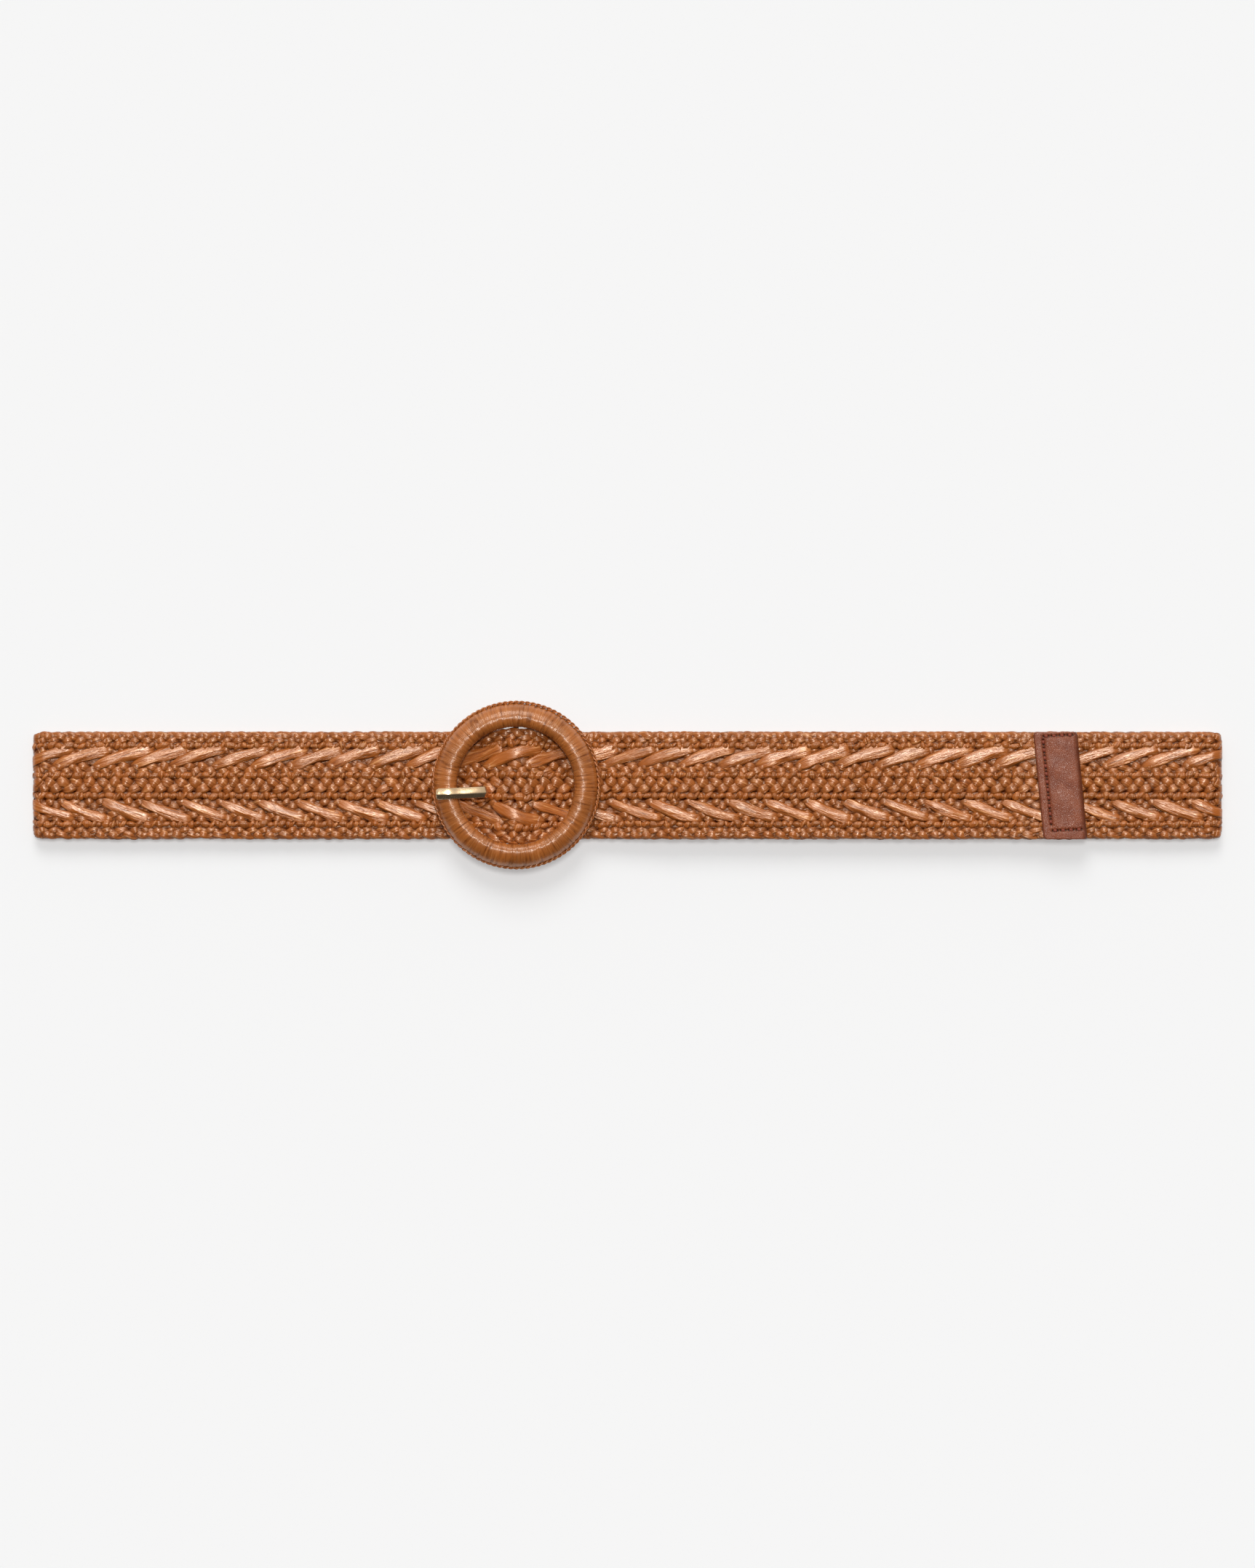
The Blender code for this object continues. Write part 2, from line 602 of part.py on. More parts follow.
def make_prong(axes):
    """The brass prong, with its curl round the bar."""
    stations = prong_stations()
    sections = [prong_section(1.0) for _ in stations]
    sections[0] = prong_section(0.72)
    add_piece("prong", swept(stations, sections), GOLD, axes["prong"])


def make_tip(axes):
    """The leather cap folded round the strap's end, and the thread that closes it."""
    bottom = TAIL_LEVEL - STRAP_THICKNESS / 2
    inside = TIP_STRAP_THICKNESS + 2 * CLEARANCE
    outer_radius = TIP_LEATHER + inside / 2
    middle = bottom + outer_radius
    bend_x = TIP_END_X - outer_radius
    outline = [(TIP_START_X, middle - outer_radius)]
    outline += arc((bend_x, middle), outer_radius, -90, 90, TIP_ARC_STEPS)
    outline += [(TIP_START_X, middle + outer_radius), (TIP_START_X, middle + inside / 2)]
    outline += arc((bend_x, middle), inside / 2, 90, -90, TIP_ARC_STEPS)
    outline += [(TIP_START_X, middle - inside / 2)]
    builder = bmesh.new()
    half = STRAP_WIDTH / 2 + TIP_OVERHANG
    sides = []
    for y in (-half, half):
        sides.append([builder.verts.new((tip_edge_x(x, y), y, z)) for x, z in outline])
    for k in range(len(outline)):
        j = (k + 1) % len(outline)
        builder.faces.new((sides[0][k], sides[0][j], sides[1][j], sides[1][k]))
    builder.faces.new(sides[0])
    builder.faces.new(sides[1])
    shade_round(add_piece("leather_tip", builder, LEATHER, axes["tail_end"]))

    level = middle + outer_radius + THREAD_RADIUS + THREAD_CLEARANCE
    upper, lower = half - THREAD_UPPER_INSET, -half + THREAD_LOWER_INSET
    left, right = TIP_START_X + THREAD_LEFT_INSET, bend_x
    corners = [(right, upper), (left, upper), (left, lower), (right, lower)]
    curve = bpy.data.curves.new("tip_thread", "CURVE")
    curve.dimensions = "3D"
    curve.bevel_depth = THREAD_RADIUS
    curve.bevel_resolution = 1
    curve.use_fill_caps = True
    spline = curve.splines.new("POLY")
    spline.points.add(len(corners) - 1)
    place = Vector(axes["tail_end"]["place"])
    for point, (x, y) in zip(spline.points, corners):
        point.co = (*(Vector((tip_edge_x(x, y), y, level)) - place), 1.0)
    curve.materials.append(material(THREAD))
    thread = bpy.data.objects.new("tip_thread", curve)
    bpy.context.scene.collection.objects.link(thread)
    thread.parent = axes["tail_end"]


def main():
    for leftover in list(bpy.data.objects):
        bpy.data.objects.remove(leftover)
    axes = make_axes()
    make_strap(axes)
    make_ring(axes)
    make_bar(axes)
    make_prong(axes)
    make_tip(axes)
    bpy.context.view_layer.update()


main()
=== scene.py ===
"""A plaited raffia waist belt with a wound round buckle and a leather tip.

The strap is woven strand by strand along one route, from the flap under the buckle's bar, round
the loop and through the buckle to the tip. Lengths inside the classes are in millimetres, and
every mesh is written in metres.
"""

import logging
import math
from dataclasses import dataclass, field
from enum import Enum

import bmesh
import bpy
import numpy as np
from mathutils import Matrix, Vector


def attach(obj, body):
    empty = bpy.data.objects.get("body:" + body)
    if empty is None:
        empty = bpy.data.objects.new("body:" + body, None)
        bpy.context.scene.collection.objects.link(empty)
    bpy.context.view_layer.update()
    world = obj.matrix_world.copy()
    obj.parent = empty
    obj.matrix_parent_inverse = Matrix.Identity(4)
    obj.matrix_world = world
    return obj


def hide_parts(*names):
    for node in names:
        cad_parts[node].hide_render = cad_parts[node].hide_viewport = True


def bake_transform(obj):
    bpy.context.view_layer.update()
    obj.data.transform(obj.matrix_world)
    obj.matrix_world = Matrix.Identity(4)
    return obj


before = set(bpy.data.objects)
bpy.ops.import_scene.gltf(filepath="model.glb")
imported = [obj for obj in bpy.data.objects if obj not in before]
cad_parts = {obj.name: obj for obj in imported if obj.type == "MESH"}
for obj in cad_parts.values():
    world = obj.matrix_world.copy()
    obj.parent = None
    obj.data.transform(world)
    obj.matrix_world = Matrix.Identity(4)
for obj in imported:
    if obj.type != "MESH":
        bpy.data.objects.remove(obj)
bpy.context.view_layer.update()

LOG = logging.getLogger("belt")
MM = 0.001

Socket = bpy.types.NodeSocket
Material = bpy.types.Material


# ---- Small helpers ----


def deselect_all() -> None:
    """Leaves object mode with nothing selected."""
    if bpy.context.object is not None and bpy.context.object.mode != "OBJECT":
        bpy.ops.object.mode_set(mode="OBJECT")
    for item in list(bpy.context.selected_objects):
        item.select_set(False)


def rise_between(low: float, high: float, values: np.ndarray) -> np.ndarray:
    """A smooth step from 0 at low to 1 at high."""
    share = np.clip((values - low) / (high - low), 0.0, 1.0)
    return share * share * (3.0 - 2.0 * share)


@dataclass
class Wander:
    """A smooth irregular line between about -1 and 1, the same each run.

    Attributes:
        seed: Names the line.
        longest: Its longest wave, in mm.
        shortest: Its shortest wave, in mm.
        waves: How many waves it is the sum of.
    """

    seed: int
    longest: float
    shortest: float
    waves: int = 5

    def __post_init__(self) -> None:
        """Draws the waves."""
        random = np.random.default_rng(self.seed)
        lengths = np.geomspace(self.longest, self.shortest, self.waves)
        self.rates = 2 * math.pi / (lengths * random.uniform(0.85, 1.15, self.waves))
        self.starts = random.uniform(0, 2 * math.pi, self.waves)

    def at(self, places: np.ndarray) -> np.ndarray:
        """The line's value at places along it."""
        turns = np.asarray(places)[..., None] * self.rates + self.starts
        return np.sin(turns).sum(-1) / math.sqrt(self.waves) / 1.4


# ---- Finishes ----


class Nodes:
    """A short way to wire one material's nodes."""

    def __init__(self, name: str) -> None:
        """Makes the material.

        Args:
            name: The material's name.
        """
        self.material = bpy.data.materials.new(name)
        self.material.use_nodes = True
        self.tree = self.material.node_tree
        self.shader = self.tree.nodes["Principled BSDF"]

    def add(self, kind: str, **settings: object) -> bpy.types.Node:
        """Adds a node.

        Args:
            kind: The node's type, without its ShaderNode start.
            **settings: Its properties.

        Returns:
            The new node.
        """
        node = self.tree.nodes.new("ShaderNode" + kind)
        for key, value in settings.items():
            setattr(node, key, value)
        return node

    def link(self, source: Socket, target: Socket) -> None:
        """Joins an output to an input."""
        self.tree.links.new(source, target)

    def feed(self, socket: Socket, value: Socket | tuple | float) -> None:
        """Gives an input its value.

        Args:
            socket: The input.
            value: An output to join to it, a colour or a number.
        """
        if isinstance(value, Socket):
            self.link(value, socket)
        elif isinstance(value, tuple):
            socket.default_value = (*value, 1.0)
        else:
            socket.default_value = value

    def finish(self, **values: Socket | tuple | float) -> Material:
        """Gives the shader its inputs.

        Args:
            **values: The inputs' values, named as the inputs are, with _ for a space.

        Returns:
            The finished material.
        """
        for name, value in values.items():
            self.feed(self.shader.inputs[name.replace("_", " ")], value)
        return self.material

    def attribute(self, name: str) -> Socket:
        """The value of a mesh attribute."""
        return self.add("Attribute", attribute_name=name).outputs["Fac"]

    def scaled(self, source: Socket, scale: tuple) -> Socket:
        """Scales coordinates.

        Args:
            source: The coordinates.
            scale: The factor along each axis.

        Returns:
            The new coordinates.
        """
        mapping = self.add("Mapping")
        mapping.inputs["Scale"].default_value = scale
        self.link(source, mapping.inputs["Vector"])
        return mapping.outputs["Vector"]

    def noise(self, place: Socket, scale: float, detail: float, rough: float = 0.5) -> Socket:
        """Adds a noise.

        Args:
            place: The coordinates that it reads.
            scale: Its scale.
            detail: How many finer layers it has.
            rough: How strong the finer layers are.

        Returns:
            The noise, between 0 and 1.
        """
        node = self.add("TexNoise")
        node.inputs["Scale"].default_value = scale
        node.inputs["Detail"].default_value = detail
        node.inputs["Roughness"].default_value = rough
        self.link(place, node.inputs["Vector"])
        return node.outputs["Fac"]

    def ramp(self, source: Socket, stops: list) -> Socket:
        """Adds a colour ramp.

        Args:
            source: The value that it reads.
            stops: Its stops, each a place and a colour.

        Returns:
            The colour.
        """
        node = self.add("ValToRGB")
        elements = node.color_ramp.elements
        while len(elements) < len(stops):
            elements.new(0.5)
        for element, (place, colour) in zip(elements, stops):
            element.position = place
            element.color = (*colour, 1.0)
        self.link(source, node.inputs["Fac"])
        return node.outputs["Color"]

    def grey(self, tone: Socket) -> Socket:
        """Makes a grey colour.

        Args:
            tone: How light it is.

        Returns:
            The colour.
        """
        node = self.add("CombineColor")
        for k in range(3):
            self.link(tone, node.inputs[k])
        return node.outputs["Color"]

    def maths(self, kind: str, a: Socket | float, b: Socket | float) -> Socket:
        """Adds a Math node.

        Args:
            kind: Its operation.
            a: Its first value.
            b: Its second value.

        Returns:
            The result.
        """
        node = self.add("Math", operation=kind)
        self.feed(node.inputs[0], a)
        self.feed(node.inputs[1], b)
        return node.outputs["Value"]

    def multiply(self, a: Socket, b: Socket) -> Socket:
        """Multiplies two colours.

        Args:
            a: The first colour.
            b: The second colour.

        Returns:
            The product.
        """
        node = self.add("Mix", data_type="RGBA", blend_type="MULTIPLY")
        for k, value in ((0, 1.0), (6, a), (7, b)):
            self.feed(node.inputs[k], value)
        return node.outputs[2]

    def spread(self, source: Socket, low: float, high: float) -> Socket:
        """Spreads a value from 0..1 over another range.

        Args:
            source: The value.
            low: What 0 becomes.
            high: What 1 becomes.

        Returns:
            The new value.
        """
        node = self.add("MapRange")
        node.inputs["To Min"].default_value = low
        node.inputs["To Max"].default_value = high
        self.link(source, node.inputs["Value"])
        return node.outputs["Result"]

    def bump(self, height: Socket, strength: float, distance: float) -> None:
        """Bumps the surface by a height, and its coat by less.

        Args:
            height: The height, from 0 to 1.
            strength: The bump's strength.
            distance: How far 1 stands out, in metres.
        """
        for share, target in ((1.0, "Normal"), (0.30, "Coat Normal")):
            node = self.add("Bump")
            node.inputs["Strength"].default_value = strength
            node.inputs["Distance"].default_value = distance * share
            self.link(height, node.inputs["Height"])
            self.link(node.outputs["Normal"], self.shader.inputs[target])


@dataclass(frozen=True)
class StrawFinish:
    """Dyed straw fibre, with streaks along each strand, painted shade in the gaps and a waxy
    gloss.

    Attributes:
        name: The material's name.
        deep: The darkest streaks.
        body: The colour of most of the straw.
        pale: The palest streaks.
        gap: The painted shade that the colour is multiplied by deep between strands.
        gap_low: The depth value that still counts as a gap.
        gap_high: The depth value that is quite clear of it.
        rough_low: The lowest roughness.
        rough_high: The highest roughness.
        streak_depth: How deep the streaks are, in metres.
        across: How fine the streaks are across a strand.
        coat: How strong the waxy coat is.
        gloss: How strong the gloss under it is.
        gloss_tint: The gloss's colour.
    """

    name: str = "dyed_straw"
    deep: tuple = (0.170, 0.036, 0.004)
    body: tuple = (0.350, 0.094, 0.014)
    pale: tuple = (0.620, 0.270, 0.095)
    gap: tuple = (0.14, 0.052, 0.022)
    gap_low: float = 0.25
    gap_high: float = 0.80
    rough_low: float = 0.17
    rough_high: float = 0.36
    streak_depth: float = 0.00024
    across: float = 2.1
    coat: float = 0.16
    gloss: float = 0.95
    gloss_tint: tuple = (1.0, 0.78, 0.60)

    def build(self) -> Material:
        """Builds the finish.

        Returns:
            The finished material.
        """
        n = Nodes(self.name)
        uv = n.add("TexCoord").outputs["UV"]
        fibres = n.noise(n.scaled(uv, (0.10, self.across, 1.0)), 1.0, 3.0, 0.60)
        fine = n.noise(n.scaled(uv, (0.30, self.across * 2.6, 1.0)), 1.0, 1.0, 0.5)
        patch = n.noise(n.scaled(uv, (0.22, 0.35, 1.0)), 1.0, 2.0, 0.5)
        stops = [(0.32, self.deep), (0.44, self.body), (0.56, self.body), (0.70, self.pale)]
        straw = n.ramp(fibres, stops)
        tint = n.attribute("tint")
        tone = n.maths("ADD", n.spread(tint, 0.80, 1.20), n.spread(patch, -0.14, 0.14))
        toned = n.multiply(straw, n.grey(tone))
        # Painted shade between strands: where the depth attribute is low, the colour is darkened
        # and the coat and gloss fade.
        gaps = [(self.gap_low, self.gap), (self.gap_high, (1.0, 1.0, 1.0))]
        depth = n.ramp(n.attribute("depth"), gaps)
        height = n.maths("ADD", fibres, n.maths("MULTIPLY", fine, 0.5))
        n.bump(height, 1.0, self.streak_depth)
        clear = n.spread(n.attribute("depth"), 0.0, 1.0)
        clear.node.inputs["From Min"].default_value = self.gap_low
        clear.node.inputs["From Max"].default_value = self.gap_high
        return n.finish(
            Base_Color=n.multiply(toned, depth),
            Roughness=n.spread(fine, self.rough_low, self.rough_high),
            Coat_Weight=n.maths("MULTIPLY", clear, self.coat),
            Coat_Roughness=0.15,
            Specular_IOR_Level=n.maths("MULTIPLY", clear, self.gloss),
            Specular_Tint=self.gloss_tint,
        )


WOUND_STRAW = StrawFinish(
    "wound_straw",
    deep=(0.260, 0.068, 0.010),
    body=(0.370, 0.108, 0.018),
    pale=(0.500, 0.190, 0.055),
    gap_low=0.0,
    gap_high=0.55,
    rough_low=0.22,
    rough_high=0.40,
    streak_depth=0.00022,
    across=1.9,
    coat=0.34,
)


@dataclass(frozen=True)
class LeatherFinish:
    """Fine-grained red-brown leather with a soft sheen."""

    name: str = "tip_leather"
    colour: tuple = (0.190, 0.036, 0.011)
    worn: tuple = (0.265, 0.062, 0.022)
    crease: tuple = (0.88, 0.85, 0.83)
    grain_scale: float = 1750.0
    grain_depth: float = 0.00007

    def build(self) -> Material:
        """Builds the finish.

        Returns:
            The finished material.
        """
        n = Nodes(self.name)
        place = n.add("TexCoord").outputs["Object"]
        cells = n.add("TexVoronoi", feature="DISTANCE_TO_EDGE")
        cells.inputs["Scale"].default_value = self.grain_scale
        cells.inputs["Randomness"].default_value = 1.0
        n.link(place, cells.inputs["Vector"])
        grain = n.ramp(cells.outputs["Distance"], [(0.0, (0, 0, 0)), (0.22, (1, 1, 1))])
        cloud = n.noise(place, 240.0, 4.0)
        fine = n.noise(place, 2400.0, 2.0)
        tone = n.ramp(cloud, [(0.34, self.colour), (0.66, self.worn)])
        grained = n.ramp(grain, [(0.0, self.crease), (0.6, (1.0, 1.0, 1.0))])
        shade = n.grey(n.attribute("shade"))
        n.bump(n.maths("ADD", grain, n.maths("MULTIPLY", fine, 0.2)), 1.0, self.grain_depth)
        return n.finish(
            Base_Color=n.multiply(n.multiply(tone, grained), shade),
            Roughness=n.spread(fine, 0.34, 0.46),
            Specular_IOR_Level=0.50,
            Specular_Tint=(1.0, 0.80, 0.66),
            Coat_Weight=0.24,
            Coat_Roughness=0.22,
        )


@dataclass(frozen=True)
class ThreadFinish:
    """Waxed dark red thread, with its twist."""

    name: str = "waxed_thread"
    colour: tuple = (0.300, 0.056, 0.026)

    def build(self) -> Material:
        """Builds the finish.

        Returns:
            The finished material.
        """
        n = Nodes(self.name)
        twist = n.noise(n.add("TexCoord").outputs["Object"], 5200.0, 1.0)
        dark = tuple(0.5 * part for part in self.colour)
        n.bump(twist, 0.5, 0.00005)
        colour = n.ramp(twist, [(0.35, dark), (0.65, self.colour)])
        return n.finish(Base_Color=colour, Roughness=0.6)


@dataclass(frozen=True)
class GoldFinish:
    """Polished pale gold plate, with the faint waves and rubs of a small cast part."""

    name: str = "pale_gold"
    colour: tuple = (1.0, 0.725, 0.445)

    def build(self) -> Material:
        """Builds the finish.

        Returns:
            The finished material.
        """
        n = Nodes(self.name)
        place = n.add("TexCoord").outputs["Object"]
        rub = n.noise(n.scaled(place, (0.3, 1.0, 1.0)), 1500.0, 3.0)
        wave = n.noise(place, 260.0, 1.0)
        rich = tuple(0.86 * part for part in self.colour)
        n.bump(n.maths("ADD", wave, n.maths("MULTIPLY", rub, 0.25)), 0.5, 0.00012)
        return n.finish(
            Metallic=1.0,
            Base_Color=n.ramp(wave, [(0.3, rich), (0.7, self.colour)]),
            Roughness=n.spread(rub, 0.16, 0.34),
        )


@dataclass(frozen=True)
class BronzeFinish:
    """Dark bronzed wire."""

    name: str = "dark_bronze"
    colour: tuple = (0.10, 0.055, 0.030)

    def build(self) -> Material:
        """Builds the finish.

        Returns:
            The finished material.
        """
        return Nodes(self.name).finish(Base_Color=self.colour, Metallic=0.8, Roughness=0.55)


@dataclass(frozen=True)
class FloorFinish:
    """A plain pale surface with a faint glow, so that shadows on it stay soft."""

    name: str = "pale_floor"
    colour: tuple = (0.52, 0.53, 0.545)
    glow: float = 0.38

    def build(self) -> Material:
        """Builds the finish.

        Returns:
            The finished material.
        """
        return Nodes(self.name).finish(
            Base_Color=self.colour,
            Roughness=0.9,
            Specular_IOR_Level=0.1,
            Emission_Color=(1.0, 1.0, 1.0),
            Emission_Strength=self.glow,
        )


# ---- The strap's route ----


FOLDS = (("right_fold", "back_side"), ("left_fold", "tail_side"))


def level_at(keys: tuple, x: np.ndarray) -> np.ndarray:
    """Levels on a smooth line that never overshoots between two of its keys.

    Args:
        keys: The (x, z) keys, in order of x.
        x: Where the levels are wanted.

    Returns:
        The level at each x.
    """
    kx, kz = (np.array(part, float) for part in zip(*keys))
    slopes = np.diff(kz) / np.diff(kx)
    product = slopes[:-1] * slopes[1:]
    total = np.where(product > 0, slopes[:-1] + slopes[1:], 1.0)
    inner = np.where(product > 0, 2 * product / total, 0.0)
    tangents = np.concatenate(([0.0], inner, [0.0]))
    x = np.clip(x, kx[0], kx[-1])
    i = np.clip(np.searchsorted(kx, x, side="right") - 1, 0, len(kx) - 2)
    span = kx[i + 1] - kx[i]
    t = (x - kx[i]) / span
    return (
        kz[i] * (1 + 2 * t) * (1 - t) ** 2
        + kz[i + 1] * t * t * (3 - 2 * t)
        + span * tangents[i] * t * (1 - t) ** 2
        + span * tangents[i + 1] * t * t * (t - 1)
    )


def arc_points(centre: tuple, radius: float, start: float, end: float) -> tuple:
    """Points on an arc, without its two ends.

    Args:
        centre: The arc's (x, z) centre.
        radius: Its radius.
        start: The angle that it starts at, in degrees.
        end: The angle that it ends at.

    Returns:
        The points' x and z.
    """
    angle = np.radians(np.linspace(start, end, 40)[1:-1])
    return centre[0] + radius * np.cos(angle), centre[1] + radius * np.sin(angle)


@dataclass
class Route:
    """The strap's middle line and its thickness, as one fine line from the flap to the tip.

    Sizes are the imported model's own, in mm. The levels are those of the strap's middle.

    Attributes:
        thickness: The strap's thickness.
        pinched: Its thickness round the bar.
        in_tip: Its thickness in the leather tip.
        back: Its level along the back.
        front: Its level along the front.
        tail: The tail's level, on top of the front.
        under_rim: Its lower layer's level under the buckle's rim.
        layer_step: How far the upper layer is above the lower one there.
        bar_x: Where the bar is.
        bar_z: The bar's level.
        turn: The radius of the turn round the bar.
        flap: The length of the flap under the bar.
        opening: The radius of the ring's opening.
        outer: The ring's outer radius.
        fold_x: Where the folds begin.
        panel: Where the panel hinges are.
        tail_hinge: Where the tail's hinge is.
        tip_x: Where the strap ends in the tip.
        thinning: Where the strap starts and stops thinning towards the tip.
        over_bar: How much wider it lies over the bar.
        sag: How far it lies to one side there.
        in_fold: How much narrower it is in a fold.
        pressed: How much flatter its strands are in a fold.
        floor: The lowest level that a strand may have.
    """

    thickness: float = 2.4
    pinched: float = 1.8
    in_tip: float = 1.4
    back: float = 1.2
    front: float = 5.6
    tail: float = 8.3
    under_rim: float = 3.9
    layer_step: float = 2.7
    bar_x: float = -42.0
    bar_z: float = 5.9
    turn: float = 2.3
    flap: float = 9.0
    opening: float = 22.2
    outer: float = 31.0
    fold_x: float = 221.1
    panel: float = 75.0
    tail_hinge: float = 105.0
    tip_x: float = 168.0
    thinning: tuple = (140.6, 152.3)
    over_bar: float = 0.083
    sag: float = 0.25
    in_fold: float = 0.045
    pressed: float = 0.38
    floor: float = 0.02
    marks: dict = field(default_factory=dict)

    def __post_init__(self) -> None:
        """Lays the line and measures along it."""
        runs = self.runs()
        count = 0
        for name, x, _, _ in runs:
            self.marks[name] = count
            count += len(x)
        self.x = np.concatenate([x for _, x, _, _ in runs])
        self.z = np.concatenate([z for _, _, z, _ in runs])
        self.t = np.concatenate([np.broadcast_to(thick, x.shape) for _, x, _, thick in runs])
        steps = np.hypot(np.diff(self.x), np.diff(self.z))
        self.s = np.concatenate(([0.0], np.cumsum(steps)))
        along_x, along_z = np.gradient(self.x, self.s), np.gradient(self.z, self.s)
        length = np.hypot(along_x, along_z)
        self.nx, self.nz = -along_z / length, along_x / length
        self.end = self.s[-1]

    def lower_keys(self) -> tuple:
        """Lists the lower layer's keys, from the bar to the front's level.

        Returns:
            The (x, z) keys.
        """
        bar, rim = self.bar_x, self.bar_x + 13.45
        return (
            (bar, self.bar_z + self.turn),
            (bar + self.flap, 6.15),
            (rim, 5.025),
            (bar + self.opening, self.under_rim),
            (bar + self.outer, self.under_rim),
            (bar + 2 * self.outer, self.front),
        )

    def upper_keys(self) -> tuple:
        """Lists the upper layer's keys, from the front's level over the bar to the tip.

        Returns:
            The (x, z) keys.
        """
        bar, rim = self.bar_x, self.bar_x + 13.45
        over_rim = self.under_rim + self.layer_step
        return (
            (-self.panel, self.front),
            (bar - self.opening, 5.925),
            (bar - 11.0, 8.1),
            (bar, 10.6),
            (bar + self.flap, 8.85),
            (rim, 7.725),
            (bar + self.opening, over_rim),
            (bar + self.outer, over_rim),
            (bar + 2 * self.outer, self.tail),
            (self.thinning[0], self.tail),
            (self.thinning[1], 9.0),
            (self.tip_x, 9.0),
        )

    def runs(self) -> list:
        """Lays the line's stretches one after another.

        Returns:
            Each stretch's name, x, z and thickness.
        """
        full, bar, fold = self.thickness, (self.bar_x, self.bar_z), self.fold_x
        past = self.bar_x + self.flap
        middle, radius = (self.back + self.front) / 2, (self.front - self.back) / 2
        under = np.arange(past, self.bar_x, -0.25)
        lower = np.arange(self.bar_x, fold, 0.25)
        grow = np.clip((lower - self.bar_x) / self.opening, 0, 1)
        back = np.arange(fold, -fold, -0.5)
        upper = np.arange(-fold, self.tip_x, 0.25)
        thin = full + (self.in_tip - full) * rise_between(*self.thinning, upper)
        return [
            ("flap", under, np.full(under.shape, self.bar_z - self.turn), self.pinched),
            ("bar_turn", *arc_points(bar, self.turn, 270, 90), self.pinched),
            ("buckle_side", lower, level_at(self.lower_keys(), lower),
             self.pinched + grow * (full - self.pinched)),
            ("right_fold", *arc_points((fold, middle), radius, 90, -90), full),
            ("back_side", back, np.full(back.shape, self.back), full),
            ("left_fold", *arc_points((-fold, middle), radius, 270, 90), full),
            ("tail_side", upper, level_at(self.upper_keys(), upper), thin),
        ]

    def where(self, stretch: str, x: float) -> float:
        """How far along the strap a stretch passes an x place.

        Args:
            stretch: The name of a stretch of the route.
            x: The place, in mm.

        Returns:
            The distance along the strap, in mm.
        """
        names = list(self.marks)
        low = self.marks[stretch]
        k = names.index(stretch) + 1
        high = self.marks[names[k]] if k < len(names) else len(self.x)
        part = slice(low, high)
        order = np.argsort(self.x[part])
        return float(np.interp(x, self.x[part][order], self.s[part][order]))

    def starts(self, stretch: str) -> float:
        """How far along the strap a stretch starts."""
        return float(self.s[self.marks[stretch]])

    def folding(self, s: np.ndarray) -> np.ndarray:
        """How near places along the strap are to the middle of a fold.

        Args:
            s: The places.

        Returns:
            For each, 1 in the middle of a fold and 0 from 4.2 mm away.
        """
        near = np.zeros(np.shape(s))
        for start, end in FOLDS:
            middle = (self.starts(start) + self.starts(end)) / 2
            near = near + np.clip(1 - ((s - middle) / 4.2) ** 2, 0, 1)
        return near

    def home(self, begin: float, end: float, face: int) -> float:
        """The place that decides which span a leaf of straw belongs to.

        A leaf over a fold goes with the fold. On the inner face it would be pinched there, so it
        is left out.

        Args:
            begin: Where the leaf begins along the strap.
            end: Where it ends.
            face: The face that it lies on, 1 for the outer one.

        Returns:
            The place along the strap, or infinity for a leaf that is left out.
        """
        for fold, after in FOLDS:
            low, high = self.starts(fold), self.starts(after)
            if begin < high and end > low:
                return (low + high) / 2 if face > 0 else math.inf
        return (begin + end) / 2

    def spread(self, s: np.ndarray) -> np.ndarray:
        """How wide the strap lies: over the bar it spreads, and in a fold it draws in.

        Args:
            s: Places along the strap.

        Returns:
            The factor on its width at each of them.
        """
        off = (s - self.where("tail_side", self.bar_x)) / 12.0
        over = self.over_bar * np.clip(1 - off * off, 0, 1)
        return 1 - self.in_fold * self.folding(s) ** 2 + over

    def place(self, s: np.ndarray, y: np.ndarray, n: np.ndarray) -> np.ndarray:
        """Places points of the strap in the world.

        Args:
            s: How far along the strap they are, in mm.
            y: How far across it.
            n: How far out of it.

        Returns:
            Their world places, in metres.
        """
        off = (s - self.where("tail_side", self.bar_x)) / 20.0
        y = y * self.spread(s) - self.sag * np.clip(1 - off * off, 0, 1) ** 2
        x, z = np.interp(s, self.s, self.x), np.interp(s, self.s, self.z)
        nx, nz = np.interp(s, self.s, self.nx), np.interp(s, self.s, self.nz)
        depth = np.interp(s, self.s, self.t) / self.thickness
        out = n * depth * (1 - self.pressed * self.folding(s))
        return np.stack((x + nx * out, y, np.maximum(z + nz * out, self.floor)), -1) * MM


# ---- Strands ----


@dataclass
class Strand:
    """One strand, as a run of flattened rings in the strap's own places.

    Attributes:
        s: Each ring's place along the strap.
        y: Its place across the strap.
        n: Its place out of the strap.
        half_width: Half of its width.
        half_depth: Half of its depth.
        tint: Its colour, from dark at 0 to pale at 1.
        sides: How many points a ring has.
        shear: How far a ring leans along the strap for each mm across it.
        square: The power that rounds a ring: lower is squarer.
        ridges: How deep the folds in the straw are.
        wound: Whether the fibres run round the strand rather than along it.
    """

    s: np.ndarray
    y: np.ndarray
    n: np.ndarray
    half_width: np.ndarray
    half_depth: np.ndarray
    tint: np.ndarray
    sides: int = 8
    shear: np.ndarray | float = 0.0
    square: float = 0.85
    ridges: float = 0.10
    wound: bool = False


